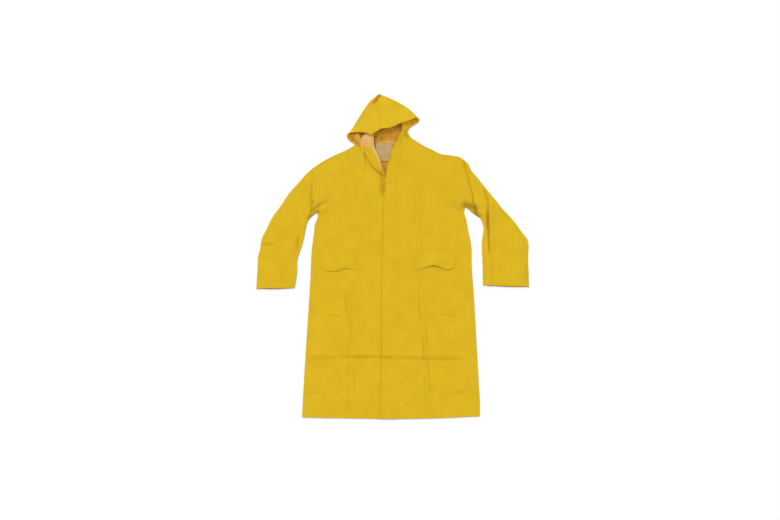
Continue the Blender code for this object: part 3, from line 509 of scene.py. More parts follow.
def patch(low, high, first, last, u, v):
    """Plan of a panel between four boundaries. Row v, column u."""
    b, t, l, r = low(u)[None], high(u)[None], first(v)[:, None], last(v)[:, None]
    (b0, b1), (t0, t1) = low([0, 1]), high([0, 1])
    uu, vv = u[None, :, None], v[:, None, None]
    corners = (1 - uu) * (1 - vv) * b0 + uu * (1 - vv) * b1 + (1 - uu) * vv * t0 + uu * vv * t1
    return (1 - vv) * b + vv * t + (1 - uu) * l + uu * r - corners


def draw_in(plan, amount=SEAM):
    """Keeps each cut edge of a plan back from its seam line."""
    shift = np.zeros_like(plan)
    for axis in (0, 1):
        step = np.gradient(plan, axis=axis)
        step /= np.maximum(np.linalg.norm(step, axis=2, keepdims=True), 1e-9)
        first, last = [slice(None)] * 2, [slice(None)] * 2
        first[axis], last[axis] = 0, -1
        shift[tuple(first)] += step[tuple(first)] * amount
        shift[tuple(last)] -= step[tuple(last)] * amount
    return plan + shift


def turn(radius, steps):
    """Half turn of a fold seen end on: distance in from the fold and height, from top to bottom."""
    angle = np.linspace(90, -90, steps + 1) * np.pi / 180
    return radius * (1 - np.cos(angle)), radius * (1 + np.sin(angle))


def wander(along, seed, pitch):
    """An uneven run of values from -1 to 1 along a line."""
    knots = np.random.default_rng(seed).uniform(-1, 1, SEEDS + 1)
    place = np.mod(along / pitch, SEEDS)
    knot = place.astype(int)
    t = ease(place - knot)
    return knots[knot] * (1 - t) + knots[knot + 1] * t


def along_and_across(crease, x, y):
    """Distance along a crease and signed distance from its bowed, slightly wandering line."""
    run = np.array([crease.x1 - crease.x0, crease.y1 - crease.y0])
    length = np.hypot(*run)
    along = ((x - crease.x0) * run[0] + (y - crease.y0) * run[1]) / length
    across = ((y - crease.y0) * run[0] - (x - crease.x0) * run[1]) / length
    share = np.clip(along / length, 0, 1)
    return length, along, across - 4 * crease.bow * share * (1 - share)


def crease_runs(x, y, creases):
    """For each crease of a table: the crease, its strength at a place and its distance in widths."""
    for seed, crease in enumerate(creases):
        length, along, across = along_and_across(crease, x, y)
        across = across + STRAY * crease.width * wander(along, seed, STRAY_PITCH)
        width = crease.width * (1 + STRAY * wander(along, seed + WIDTH_SEED, WIDTH_PITCH))
        fade = min(FADE_MOST, FADE_SHARE * length)
        ends = ease(along / fade) * ease((length - along) / fade)
        strength = STRENGTH + STRENGTH_STRAY * wander(along, seed + STRENGTH_SEED, STRENGTH_PITCH)
        yield crease, ends * strength, np.abs(across) / width


def creased(x, y, creases):
    """Height of all the creases of a table at a place."""
    rise = np.zeros_like(x)
    for crease, strength, off in crease_runs(x, y, creases):
        profile = (1 - crease.crisp) * np.exp(-off ** 2) + crease.crisp * np.exp(-1.6 * off)
        rise += crease.height * strength * profile
    return rise * bpy.context.scene.raincoat_cloth.creases


def crease_shade(x, y, creases):
    """How much painted shade, in the folds' deeper colour, the creases of a table show at a place."""
    tint = np.zeros_like(x)
    for crease, strength, off in crease_runs(x, y, creases):
        if crease.tint:
            tint += crease.tint * strength * np.exp(-1.5 * off ** 2)
    return tint


def shaded(x, y, shades):
    """Depth of the patches of shade of a table at a place."""
    depth = np.zeros_like(x)
    for shade in shades:
        run = np.array([shade.x1 - shade.x0, shade.y1 - shade.y0])
        share = np.clip(((x - shade.x0) * run[0] + (y - shade.y0) * run[1]) / (run @ run), 0, 1)
        off = np.hypot(x - shade.x0 - share * run[0], y - shade.y0 - share * run[1])
        depth = np.maximum(depth, shade.depth * np.exp(-(off / shade.width) ** 2))
    return depth


def off_line(x, y, rows):
    """Distance of each place from a smooth line, and the share of the line where it is nearest."""
    line = walk(smooth_line(rows)[:, :2], np.linspace(0, 1, 81))
    off = np.hypot(x[..., None] - line[:, 0], y[..., None] - line[:, 1])
    return off.min(-1), off.argmin(-1) / 80


def rolling(x, y, size, seed):
    """Smooth noise of about -1 to 1 whose lumps are about a size across."""
    flat = [noise.noise((a / size, b / size, seed)) for a, b in zip(np.ravel(x), np.ravel(y))]
    return np.reshape(flat, np.shape(x))


def swell(x, y, seed=0.0):
    """Height of the cloth's slight unevenness at a place."""
    return sum(lump.rise * rolling(x, y, lump.size, seed + lump.seed) for lump in SWELLS)


def side_limits(y):
    """Right and left limits of the body at the given heights."""
    right = np.vstack([smooth_line(SIDE_RIGHT), smooth_line(ARMHOLE_RIGHT)[1:]])
    left = np.vstack([smooth_line(SIDE_LEFT), smooth_line(ARMHOLE_LEFT)[1:]])
    return np.interp(y, right[:, 1], right[:, 0]), np.interp(y, left[:, 1], left[:, 0])


def level(rows, at, across="x"):
    """The height of a line at the given places, or with across "y" its place at the given heights."""
    line = smooth_line(rows)[:, :2]
    line = line if across == "x" else line[:, ::-1]
    line = line[np.argsort(line[:, 0])]
    return np.interp(at, line[:, 0], line[:, 1])


def shoulder_height(x):
    line = np.vstack([smooth_line(SHOULDER_RIGHT), smooth_line(NECK_BACK)[1:],
                      smooth_line(SHOULDER_LEFT[::-1])[1:]])
    return np.interp(x, line[:, 0], line[:, 1])


def armhole_pull(x, y):
    """How strongly an armhole seam pulls in the cloth at a place, from 0 to 1, which also sets its painted
    shade.
    """
    strongest = np.zeros_like(x)
    for pull in PULLS:
        off, share = off_line(x, y, pull.line)
        reach = pull.middle + (pull.shoulder - pull.middle) * ease((share - 0.5) / 0.35)
        reach = PULL_LEAST + (reach - PULL_LEAST) * ease((share - pull.start + 0.1) / 0.15)
        strongest = np.maximum(strongest, reach * np.exp(-(off / pull.width) ** 2))
    return strongest


def groove(off):
    """The groove that a row of stitches pulls in, at a distance from the row."""
    return -GROOVE * np.exp(-(off / GROOVE_WIDTH) ** 2)


def turned(distance, depth, height=0):
    """A height raised by a turned-up band, at a distance from its edge, with a sewn groove at its end."""
    return height + TURN_RISE * (1 - ease((distance - depth) / TURN_END)) + groove(distance - depth)


def places(points):
    """The x and the y of a grid's points."""
    return points[..., 0], points[..., 1]


def raised(plan, height):
    """A plan's points with their height, from a function of the place."""
    return np.dstack([plan, height(*places(plan))])


def back_height(x, y):
    """Upper side of the back panel, which lies on the floor."""
    right, left = side_limits(y)
    inside = np.minimum(np.minimum(x - right, left - x), shoulder_height(x) - y)
    inside = np.minimum(inside, y - level(HEM, x))
    lift = np.clip(BACK_SHARE * creased(x, y, PRESSED) + BACK_SHARE * swell(x, y, BACK_SEED), 0, BACK_LIFT)
    return CLOTH + lift * ease(inside / LOFT_REACH)


def front_height(x, y):
    """Outer side of a front panel that lies on the back panel."""
    right, left = side_limits(y)
    inside = np.minimum(x - right, left - x)
    below = shoulder_height(x) - y
    above = y - level(HEM, x)
    loft = ease(inside / LOFT_REACH) * ease(below / LOFT_REACH) * ease(above / LOFT_REACH)
    neck = ease((y - OPENING_FOOT) / (OPENING_TOP - OPENING_FOOT))
    opening = np.exp(-((x - NECK_MIDDLE) / NECK_REACH) ** 2)
    free = ease(inside / FREE_REACH) * ease(below / FREE_REACH)
    uneven = (creased(x, y, FRONT_CREASES) + swell(x, y)) * free
    height = turned(above, HEM_TURN, CLOTH + LAYER + LOFT * loft + NECK_LIFT * neck * opening + uneven)
    return np.maximum(height - PULL_DEPTH * armhole_pull(x, y), back_height(x, y) + LAYER)


def front_right_height(x, y):
    """The right front runs smooth under the left one."""
    cover = ease((x - LAP_COVER) / (LAP_RUN / 2))
    smooth = front_height(x, y) - cover * np.maximum(creased(x, y, FRONT_CREASES), 0)
    return np.maximum(smooth, CLOTH + LAYER)


def front_left_height(x, y):
    """The left front also lies over the right front along the middle."""
    edge = level(EDGE_LEFT + OPENING_LEFT[1:], y, "y")
    lap = LAYER * (1 - ease((x - LAP_END) / LAP_RUN))
    return front_height(x, y) + lap + groove(x - edge - EDGE_ROW) + 0.5 * TURN_RISE * (x - edge < EDGE_ROW)


# -------- finish
def set_inputs(tree, node, values):
    """Links each named input of a node to a socket, or gives it its value."""
    for key, value in values.items():
        if isinstance(value, bpy.types.NodeSocket):
            tree.links.new(value, node.inputs[key])
        else:
            node.inputs[key].default_value = value


def add_node(tree, kind, inputs=None, **settings):
    """A node with its settings and its inputs."""
    made = tree.nodes.new(kind)
    for name, value in settings.items():
        setattr(made, name, value)
    set_inputs(tree, made, inputs or {})
    return made


def node_group(name, kind, inputs, outputs):
    """An empty node group with named sockets, with its input and output nodes."""
    group = bpy.data.node_groups.new(name, kind)
    for label, socket, value in inputs:
        made = group.interface.new_socket(label, in_out="INPUT", socket_type=socket)
        if value is not None:
            made.default_value = value
    for label, socket in outputs:
        group.interface.new_socket(label, in_out="OUTPUT", socket_type=socket)
    return group, group.nodes.new("NodeGroupInput"), group.nodes.new("NodeGroupOutput")


def math_node(tree, operation, a, b=0.0, c=0.0):
    return add_node(tree, "ShaderNodeMath", {0: a, 1: b, 2: c}, operation=operation).outputs[0]


def grain_group():
    """Fine embossed grain with a soft, larger unevenness."""
    group, given, result = node_group(
        "embossed_grain", "ShaderNodeTree",
        [("Vector", "NodeSocketVector", None), ("Grains per metre", "NodeSocketFloat", 800.0),
         ("Patches per metre", "NodeSocketFloat", 14.0)],
        [("Height", "NodeSocketFloat"), ("Patch", "NodeSocketFloat")])
    place, grains, patches = (given.outputs[at] for at in range(3))
    cells = add_node(group, "ShaderNodeTexVoronoi", {"Vector": place, "Scale": grains}, feature="SMOOTH_F1")
    fine = add_node(group, "ShaderNodeTexNoise", {"Vector": place, "Scale": grains, "Detail": 2.0})
    soft = add_node(group, "ShaderNodeTexNoise",
                    {"Vector": place, "Scale": patches, "Detail": 3.0, "Roughness": 0.55})
    height = math_node(group, "MULTIPLY_ADD", cells.outputs["Distance"], 0.6, fine.outputs["Fac"])
    set_inputs(group, result, {"Height": height, "Patch": soft.outputs["Fac"]})
    return group


def knit_group():
    """Loops of a plain knit, in columns along the second direction of the piece's own map."""
    group, given, result = node_group(
        "knit_loops", "ShaderNodeTree",
        [("Vector", "NodeSocketVector", None), ("Column width", "NodeSocketFloat", 0.0015),
         ("Course height", "NodeSocketFloat", 0.0012)],
        [("Height", "NodeSocketFloat"), ("Gap", "NodeSocketFloat")])
    split = add_node(group, "ShaderNodeSeparateXYZ", {0: given.outputs["Vector"]})
    column = math_node(group, "DIVIDE", split.outputs["X"], given.outputs["Column width"])
    course = math_node(group, "DIVIDE", split.outputs["Y"], given.outputs["Course height"])
    off = math_node(group, "ABSOLUTE", math_node(group, "SUBTRACT", math_node(group, "FRACT", column), 0.5))
    slanted = math_node(group, "MULTIPLY_ADD", off, 0.9, course)
    loop = math_node(group, "SINE", math_node(group, "MULTIPLY", slanted, 2 * math.pi))
    ridge = math_node(group, "SINE", math_node(group, "MULTIPLY", off, 2 * math.pi))
    height = math_node(group, "MULTIPLY_ADD", loop, 0.35, ridge)
    set_inputs(group, result, {"Height": height, "Gap": math_node(group, "LESS_THAN", height, 0.1)})
    return group


PREFIX = "raincoat_"


def new_material(name):
    mat = bpy.data.materials.new(PREFIX + name)
    mat.use_nodes = True
    return mat, mat.node_tree


def dress(mat, color, rough, specular, relief=None, strength=0.0, depth=0.0):
    """Gives a material its colour, gloss and relief, whose depth is in metres."""
    tree = mat.node_tree
    values = {"Base Color": color, "Roughness": rough, "Specular IOR Level": specular}
    if relief is not None:
        bump = add_node(tree, "ShaderNodeBump", {"Height": relief, "Strength": strength, "Distance": depth})
        values["Normal"] = bump.outputs["Normal"]
    set_inputs(tree, tree.nodes["Principled BSDF"], values)
    return mat


def place_on(tree, kind="Object"):
    """The place on a piece, or with kind "UV" the place on its own map."""
    return add_node(tree, "ShaderNodeTexCoord").outputs[kind]


def grained(tree, groups, grains=800.0, patches=14.0):
    """The embossed grain's outputs, with its sizes per metre."""
    return add_node(tree, "ShaderNodeGroup",
                    {"Vector": place_on(tree), "Grains per metre": grains, "Patches per metre": patches},
                    node_tree=groups["grain"]).outputs


def knitted(tree, groups, column):
    """The knit's outputs, with the width of a column in metres."""
    return add_node(tree, "ShaderNodeGroup", {"Vector": place_on(tree, "UV"), "Column width": column},
                    node_tree=groups["knit"]).outputs


def waved(tree, scale, distortion, direction):
    """Fine waves across a piece."""
    return add_node(tree, "ShaderNodeTexWave",
                    {"Vector": place_on(tree), "Scale": scale, "Distortion": distortion},
                    bands_direction=direction).outputs["Fac"]


def tinted(tree, factor, light, dark, blend="MIX"):
    """A colour between two, by a factor from 0 to 1, or with "MULTIPLY" one darkened by the other."""
    # by their numbers, because the colour sockets share their names with those for other values
    mix = add_node(tree, "ShaderNodeMix", {0: factor, 6: light, 7: dark}, data_type="RGBA", blend_type=blend)
    return mix.outputs[2]


def ranged(tree, value, low, high, to_low, to_high):
    return add_node(tree, "ShaderNodeMapRange", {"Value": value, "From Min": low, "From Max": high,
                                                 "To Min": to_low, "To Max": to_high}).outputs["Result"]


def solid(color, factor=1.0):
    return (*(min(1.0, part * factor) for part in color), 1)


def attribute_tint(tree, color, name, deep, uneven=None, blend="MIX"):
    """A colour that goes over to another by a named value of the mesh's points: painted shade or light."""
    depth = add_node(tree, "ShaderNodeAttribute", attribute_name=name).outputs["Fac"]
    if uneven is not None:
        depth = math_node(tree, "MULTIPLY", depth, ranged(tree, uneven, 0.3, 0.7, 0.72, 1.1))
    return tinted(tree, depth, color, solid(deep), blend)


def make_coated(groups, look, name="coated_cloth", folds="fold", deep=None):
    """The coated outer side: embossed grain over the knit that shows through, with painted shade in the
    folds and where it hangs back, and painted light where light comes through the cloth.
    """
    mat, tree = new_material(name)
    grain, knit = grained(tree, groups), knitted(tree, groups, 0.0015)
    color = tinted(tree, ranged(tree, grain["Patch"], 0.35, 0.65, 0, 1),
                   solid(look.coating, 1.03), solid(look.coating, 0.96))
    color = attribute_tint(tree, color, folds, deep or look.coating_fold_shade)
    color = attribute_tint(tree, color, "through", look.through)
    color = attribute_tint(tree, color, "shade", look.coating_shade, blend="MULTIPLY")
    rough = ranged(tree, grain["Patch"], 0.3, 0.7, 0.46, 0.58)
    relief = math_node(tree, "MULTIPLY_ADD", knit["Height"], 0.35, grain["Height"])
    return dress(mat, color, rough, 0.08, relief, strength=0.25, depth=0.00012)


def make_turned(groups, look):
    """The coated side where it is turned in, round the face opening and at the hems, in painted shade."""
    return make_coated(groups, look, "coated_turned", "inside", look.inside)


def make_reverse(groups, look):
    """The knitted backing on the inside, with painted shade in the gaps between its loops and on the inner
    side, and painted light where light comes through the cloth.
    """
    mat, tree = new_material("knit_reverse")
    grain, knit = grained(tree, groups, 500.0, 38.0), knitted(tree, groups, 0.0016)
    # painted shade in the gaps between the knit's loops
    color = tinted(tree, knit["Gap"], solid(look.reverse, 1.03), solid(look.reverse, 0.86))
    color = attribute_tint(tree, color, "inside", look.inside, grain["Patch"])
    color = attribute_tint(tree, color, "through", look.through)
    color = attribute_tint(tree, color, "shade", look.inside_shade)
    relief = math_node(tree, "MULTIPLY_ADD", grain["Height"], 0.2, knit["Height"])
    return dress(mat, color, 0.9, 0.1, relief, strength=0.6, depth=0.0003)


def make_tape(groups, look):
    """Bare woven tape of the neck label."""
    mat, tree = new_material("label_tape")
    weave = math_node(tree, "MULTIPLY", waved(tree, 320.0, 0.4, "X"), waved(tree, 420.0, 0.4, "Y"))
    color = tinted(tree, ranged(tree, grained(tree, groups, patches=40.0)["Patch"], 0.35, 0.7, 0, 1),
                   solid(look.label, 1.04), solid(look.label, 0.9))
    return dress(mat, color, 0.75, 0.25, weave, strength=0.5, depth=0.0002)


def make_braid(groups, look):
    """Braided cord: pale strands with painted shade in the gaps between them, and towards a hidden end."""
    mat, tree = new_material("braided_cord")
    grain = grained(tree, groups, 1800.0, 60.0)
    color = attribute_tint(tree, solid(look.cord), "fold", [0.7 * part for part in look.cord])
    color = attribute_tint(tree, color, "inside", look.inside)
    return dress(mat, color, ranged(tree, grain["Patch"], 0.3, 0.7, 0.7, 0.85), 0.25, grain["Height"],
                 strength=0.5, depth=0.0002)


def make_thread(_, look):
    """Twisted sewing thread."""
    mat, tree = new_material("sewing_thread")
    twist = waved(tree, 500.0, 2.0, "DIAGONAL")
    # painted shade in the grooves of the twist
    color = tinted(tree, twist, solid(look.thread, 0.85), solid(look.thread))
    return dress(mat, color, 0.55, 0.5, twist, strength=0.4, depth=0.0001)


def finish(name):
    """A material by name; all of them are made when the first is asked for."""
    if PREFIX + name not in bpy.data.materials:
        groups = {"grain": grain_group(), "knit": knit_group()}
        for make in (make_coated, make_turned, make_reverse, make_tape, make_braid, make_thread):
            make(groups, bpy.context.scene.raincoat_look)
    return bpy.data.materials[PREFIX + name]


# -------- mesh builders
FOLD_DEPTH = 1.6       # over this depth a hollow goes from no painted shade to the full painted shade of the folds
FOLD_LEAST = 0.1       # the painted shade begins at this share of that depth
# strength of the painted shade in the hollows
HOLLOW_SHADE = 0.35
HOLLOW_ROUNDS = 14     # rounds of smoothing that give the level round a hollow
RIM = 0.4              # distance of the line of points behind each open border
TURNED_SLOT = 2        # the first of the material slots of a turned-in band


def lengths(points, axis):
    """Length gone along each line of a grid, in one direction, in metres."""
    step = np.linalg.norm(np.diff(points, axis=axis), axis=2)
    return np.insert(np.cumsum(step, axis=axis), 0, 0, axis=axis) * MM


def painted_hollow_shade(points, closed):
    """Painted shade in the hollows, from how deep each point of a grid lies below the points around it."""
    height = points[..., 2]
    level_round = height
    for _ in range(HOLLOW_ROUNDS):
        wrapped = np.pad(level_round, ((1, 1), (0, 0)), mode="edge")
        wrapped = np.pad(wrapped, ((0, 0), (1, 1)), mode="wrap" if closed else "edge")
        level_round = (wrapped[:-2, 1:-1] + wrapped[2:, 1:-1] + wrapped[1:-1, :-2] + wrapped[1:-1, 2:]) / 4
    return np.clip((level_round - height) / FOLD_DEPTH - FOLD_LEAST, 0, 1) * HOLLOW_SHADE


def with_close_rows(values, share):
    """Values over a grid, with a row of them added close behind the first and last rows."""
    first = values[0] + (values[1] - values[0]) * share[0]
    last = values[-1] + (values[-2] - values[-1]) * share[1]
    return np.concatenate([values[:1], first[None], values[1:-1], last[None], values[-1:]])


def edged(points, fields, closed):
    """Adds a line of points close behind each open border of a grid, and of each field over it, so that
    the cloth keeps its plain surface up to its cut edge."""
    fields = [np.broadcast_to(field, points.shape[:2]).astype(float) for field in fields]
    for axis in (0,) if closed else (0, 1):
        points, fields = points.swapaxes(0, axis), [field.swapaxes(0, axis) for field in fields]
        steps = np.linalg.norm([points[1] - points[0], points[-2] - points[-1]], axis=2)
        share = np.minimum(0.5, RIM / np.maximum(steps, 1e-9))
        points = with_close_rows(points, share[..., None])
        fields = [with_close_rows(field, share) for field in fields]
        points, fields = points.swapaxes(0, axis), [field.swapaxes(0, axis) for field in fields]
    return points, fields


def grid_mesh(name, points, tints, closed=False, band=None):
    """A mesh whose faces run through a grid of points (rows, columns, xyz), with its own map of
    lengths, its named tints, and the faces of a turned-in band on slots of their own."""
    rows, columns = points.shape[:2]
    index = np.arange(rows * columns).reshape(rows, columns)
    if closed:
        index = np.arange(rows * (columns - 1)).reshape(rows, columns - 1)
        index = np.column_stack([index, index[:, 0]])
    corner = [(slice(None, -1), slice(None, -1)), (slice(None, -1), slice(1, None)),
              (slice(1, None), slice(1, None)), (slice(1, None), slice(None, -1))]
    faces = np.stack([index[at] for at in corner], -1).reshape(-1, 4)
    kept = points[:, :-1] if closed else points
    mesh = bpy.data.meshes.new(name)
    mesh.from_pydata((kept.reshape(-1, 3) * MM).tolist(), [], faces.tolist())
    chart = np.dstack([lengths(points, 1), lengths(points, 0)])
    chart = np.stack([chart[at] for at in corner], -2).reshape(-1)
    mesh.uv_layers.new(name="cloth_map").data.foreach_set("uv", chart)
    for label, tint in tints.items():
        tint = np.clip(np.broadcast_to(tint, points.shape[:2]), 0, 1)
        tint = tint[:, :-1] if closed else tint
        mesh.attributes.new(label, "FLOAT", "POINT").data.foreach_set("value", np.ravel(tint).astype(float))
    if band is not None:
        slots = np.where(band[:-1, :-1] & band[1:, 1:], TURNED_SLOT, 0)
        mesh.polygons.foreach_set("material_index", slots.ravel().astype(np.int32))
    mesh.shade_smooth()
    mesh.update()
    return mesh


def tints_of(points, creases=(), shades=(), closed=False, extra=0, inside=0, through=0):
    """The painted light and shade of a piece's points: painted shade in its folds and on its inner side,
    painted light where light comes through the cloth, and painted shade where it hangs back."""
    x, y = places(points)
    fold = painted_hollow_shade(points, closed) + crease_shade(x, y, creases) + extra
    return {"fold": fold, "inside": inside, "through": through, "shade": shaded(x, y, shades)}


def place_object(name, data):
    """An object in the scene's own collection."""
    obj = bpy.data.objects.new(name, data)
    bpy.context.scene.collection.objects.link(obj)
    return obj


def lay_cloth(name, node, points, tints, outer="coated_cloth", inner="knit_reverse", wall=CLOTH,
              closed=False, band=None):
    """A thin shell whose outer side passes through a grid of points, in place of a solid."""
    fields = list(tints.values()) + ([] if band is None else [band])
    points, fields = edged(points, fields, closed)
    tints = dict(zip(tints, fields))
    band = None if band is None else fields[-1] > 0.5
    obj = place_object(name, grid_mesh(name, points, tints, closed, band))
    for material in (outer, inner, "coated_cloth", "coated_turned"):
        obj.data.materials.append(finish(material))
    shell = obj.modifiers.new("wall", "SOLIDIFY")
    shell.thickness = wall * MM
    shell.offset = -1
    shell.material_offset = 1
    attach(obj, "root")
    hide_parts(node)
    return obj


def gather(plan, creases):
    """Slides a grid's points along its rows so that they stand closer beside the crisp creases."""
    crowd = np.ones(plan.shape[:2])
    for crease in creases:
        length, along, across = along_and_across(crease, *places(plan))
        ends = [ease(part / CROWD_FADE + 0.3) for part in (along, length - along)]
        crowd += CROWD * np.exp(-(across / CROWD_WIDTH) ** 2) * ends[0] * ends[1]
    moved = plan.copy()
    for row, (line, weight) in enumerate(zip(plan, crowd)):
        step = np.linalg.norm(np.diff(line, axis=0), axis=1)
        effort = np.concatenate([[0], np.cumsum(step * (weight[1:] + weight[:-1]) / 2)])
        even = np.linspace(0, effort[-1], len(line))
        for axis in (0, 1):
            moved[row, :, axis] = np.interp(even, effort, line[:, axis])
    return moved


# -------- the panels
ROLL_SHARE = 0.14      # share of the right front's edge that lies on the fold of the corner
CROWD = 2.5            # a grid's lines stand closer by this much beside a crisp crease
CROWD_WIDTH = 12
CROWD_FADE = 60


def armhole_side(edge, armhole):
    return seam((HEM_SIDE_SHARE, edge), (1 - HEM_SIDE_SHARE, armhole))


def back_points():
    shoulder, neck = 0.30, 0.36
    high = seam((shoulder, SHOULDER_RIGHT), (neck, NECK_BACK), (1 - shoulder - neck, SHOULDER_LEFT[::-1]))
    plan = patch(seam((1, HEM)), high, armhole_side(SIDE_RIGHT, ARMHOLE_RIGHT),
                 armhole_side(SIDE_LEFT, ARMHOLE_LEFT), spaced(600, shoulder, shoulder + neck),
                 spaced(900, HEM_SIDE_SHARE))
    return raised(draw_in(plan), back_height)


def front_right_points():
    shoulder = 0.62
    low = seam((1, hem_between(HEM[0].x, EDGE_RIGHT[0].x)))
    high = seam((shoulder, SHOULDER_RIGHT), (1 - shoulder, NECK_FRONT_RIGHT))
    last = seam((1 - ROLL_SHARE, EDGE_RIGHT), (ROLL_SHARE, ROLL_LINE))
    plan = patch(low, high, armhole_side(SIDE_RIGHT, ARMHOLE_RIGHT), last, spaced(400, shoulder),
                 spaced(1200, HEM_SIDE_SHARE, 1 - ROLL_SHARE))
    return raised(draw_in(gather(plan, RIGHT_FOLD)), front_right_height)


def front_left_points():
    neck, opening = 0.34, 0.10
    low = seam((1, hem_between(EDGE_LEFT[0].x, HEM[-1].x)))
    high = seam((neck, NECK_FRONT_LEFT), (1 - neck, SHOULDER_LEFT[::-1]))
    first = seam((1 - opening, EDGE_LEFT), (opening, OPENING_LEFT))
    plan = patch(low, high, first, armhole_side(SIDE_LEFT, ARMHOLE_LEFT), spaced(450, neck),
                 spaced(1200, HEM_SIDE_SHARE, 1 - opening))
    return raised(draw_in(gather(plan, LEFT_FOLDS)), front_left_height)


def near_hem(points):
    """Which points of a panel lie on its turned-up hem."""
    x, y = places(points)
    return y - level(HEM, x) < HEM_TURN


def front_seam_shade(points):
    """Painted shade and shadow: the darker lines beside the armholes and along the front edge."""
    x, y = places(points)
    edge = x - level(EDGE_LEFT + OPENING_LEFT[1:], y, "y")
    return ARMHOLE_SHADE * armhole_pull(x, y) + EDGE_SHADOW * np.exp(-(edge / EDGE_SHADOW_WIDTH) ** 2)


# -------- the sleeves
Sleeve = namedtuple("Sleeve", "name armhole cuff inner outer pleat")
Pleat = namedtuple("Pleat", "inset height width")

SLEEVES = [
    Sleeve("sleeve_right", ARMHOLE_RIGHT, CUFF_RIGHT, SLEEVE_RIGHT_INNER, SLEEVE_RIGHT_OUTER, None),
    Sleeve("sleeve_left", ARMHOLE_LEFT, CUFF_LEFT, SLEEVE_LEFT_INNER, SLEEVE_LEFT_OUTER, Pleat(28, 3.2, 9)),
]
CUFF_SET_BACK = 2.5    # the upper side of a cuff ends this far short of its lower side
CUFF_FROM = 0.9        # and draws back from this share of the sleeve's length
SLEEVE_COLUMNS = 48    # points across the upper side and across the lower side
SLEEVE_ACROSS = 61     # points across the plan that the rings are laid along
SLEEVE_BEND = 8        # steps round each folded edge
SLEEVE_START = 0.15    # share of the length over which a sleeve reaches its full height
PLEAT_START = 0.2
SLEEVE_LOFT_REACH = 60  # distance from a folded edge over which the loft builds up
CREASE_REACH = 12      # creases come in over this distance from a folded edge
CREASE_START = 0.06    # and over this share of the length
SLEEVE_SWELL, SLEEVE_SEED = 0.8, 11.0


def sleeve_rings(sleeve):
    """Rings of a flattened tube: upper side, folded edge, lower side, folded edge."""
    lengthwise, crosswise = spaced(620, 0.5), np.linspace(0, 1, SLEEVE_ACROSS)
    sides = (seam((1, rows)) for rows in (sleeve.armhole, sleeve.cuff, sleeve.inner, sleeve.outer))
    spread = patch(*sides, crosswise, lengthwise)
    rim = np.gradient(spread[0], axis=0)
    away = np.column_stack([rim[:, 1], -rim[:, 0]]) / np.linalg.norm(rim, axis=1, keepdims=True)
    # the last tenth of the armhole, at the shoulder, stays back further from the seam
    corner = 4 * SEAM * ease((crosswise - 0.9) / 0.1)[:, None]
    spread[0] += (2 * SEAM + corner) * away * np.sign(((spread[1] - spread[0]) * away).sum())
    reach_down = lengths(spread, 0)[:, len(crosswise) // 2] / MM
    rings = []
    for share, gone, across in zip(lengthwise, reach_down, spread):
        width = np.linalg.norm(np.diff(across, axis=0), axis=1).sum()
        fold = CLOTH + LAYER + (SLEEVE_FOLD - CLOTH - LAYER) * ease(share / SLEEVE_START)
        radius = fold / 2
        inset, turn_height = turn(radius, SLEEVE_BEND)
        inset, turn_height = inset[1:-1], turn_height[1:-1]
        top = np.linspace(radius, width - radius, SLEEVE_COLUMNS)
        side = np.minimum(top, width - top)
        loft = SLEEVE_LOFT * ease(side / SLEEVE_LOFT_REACH) * ease(share / SLEEVE_START)
        if sleeve.pleat:
            off = (top - sleeve.pleat.inset) / sleeve.pleat.width
            loft = loft + sleeve.pleat.height * np.exp(-off ** 2) * ease(share / PLEAT_START)
        x, y = places(walk(across, top / width))
        free = ease(side / CREASE_REACH) * ease(share / CREASE_START)
        loft = loft + (creased(x, y, SLEEVE_CREASES) + SLEEVE_SWELL * swell(x, y, SLEEVE_SEED)) * free
        loft = turned(reach_down[-1] - gone, CUFF_TURN, loft)
        upper = np.maximum(fold + loft, CLOTH + LAYER)
        reach = np.concatenate([top, width - inset, top[::-1], inset[::-1], top[:1]])
        height = np.concatenate([upper, turn_height, np.zeros(len(top)), turn_height[::-1], upper[:1]])
        rings.append(np.column_stack([walk(across, reach / width), height]))
    rings = np.array(rings)
    back = ease((lengthwise - CUFF_FROM) / 0.1)[:, None, None] * (rings[-2] - rings[-1])[None]
    back = back / np.linalg.norm(rings[-2, 0] - rings[-1, 0])
    half = np.zeros(rings.shape[1])
    half[:SLEEVE_COLUMNS] = np.sin(np.linspace(0, np.pi, SLEEVE_COLUMNS)) ** 0.5
    half[-1] = half[0]
    rings[..., :2] += CUFF_SET_BACK * (back * half[None, :, None])[..., :2]
    return rings


def facing_out(grid, columns):
    """The grid with its rows in the order that turns its faces outwards."""
    across, along = grid[0, columns] - grid[0, 0], grid[-1, 0] - grid[0, 0]
    return grid[::-1] if across[0] * along[1] - across[1] * along[0] < 0 else grid


# -------- the hood
Hood = namedtuple("Hood", "name sign front neck_front brim tip under neck_edge slope fold_tip fold_neck")

HOODS = [
    Hood("hood_left", 1, front_left_height, NECK_FRONT_LEFT, BRIM_LEFT, TIP_LEFT, UNDER_LEFT,
         NECK_EDGE_LEFT, SLOPE_LEFT, FOLD_TIP_LEFT, FOLD_NECK_LEFT),
    Hood("hood_right", -1, front_height, NECK_FRONT_RIGHT, BRIM_RIGHT, TIP_RIGHT, UNDER_RIGHT,
         NECK_EDGE_RIGHT, SLOPE_RIGHT, FOLD_TIP_RIGHT, FOLD_NECK_RIGHT),
]
HOOD_UPPER, HOOD_BEND, HOOD_LOWER = 44, 8, 24     # points across the parts of a section
UNDER_LAYER = 1.0                                 # points no higher than this are on the hood's underside
HOOD_ROWS = (34, 40, 12, 24, 34)                  # rows in each stretch of a hood half
HOOD_FOLD_REACH = 20   # creases come in over this distance from the outer fold
HOOD_SWELL, HOOD_SEED = 0.7, 23.0
SEAM_END = 2.5         # the felled band beside the crown seam ends over this distance
SEAM_DIP, SEAM_DIP_WIDTH = 0.4, 1.5  # depth and half width of the crown seam's own line


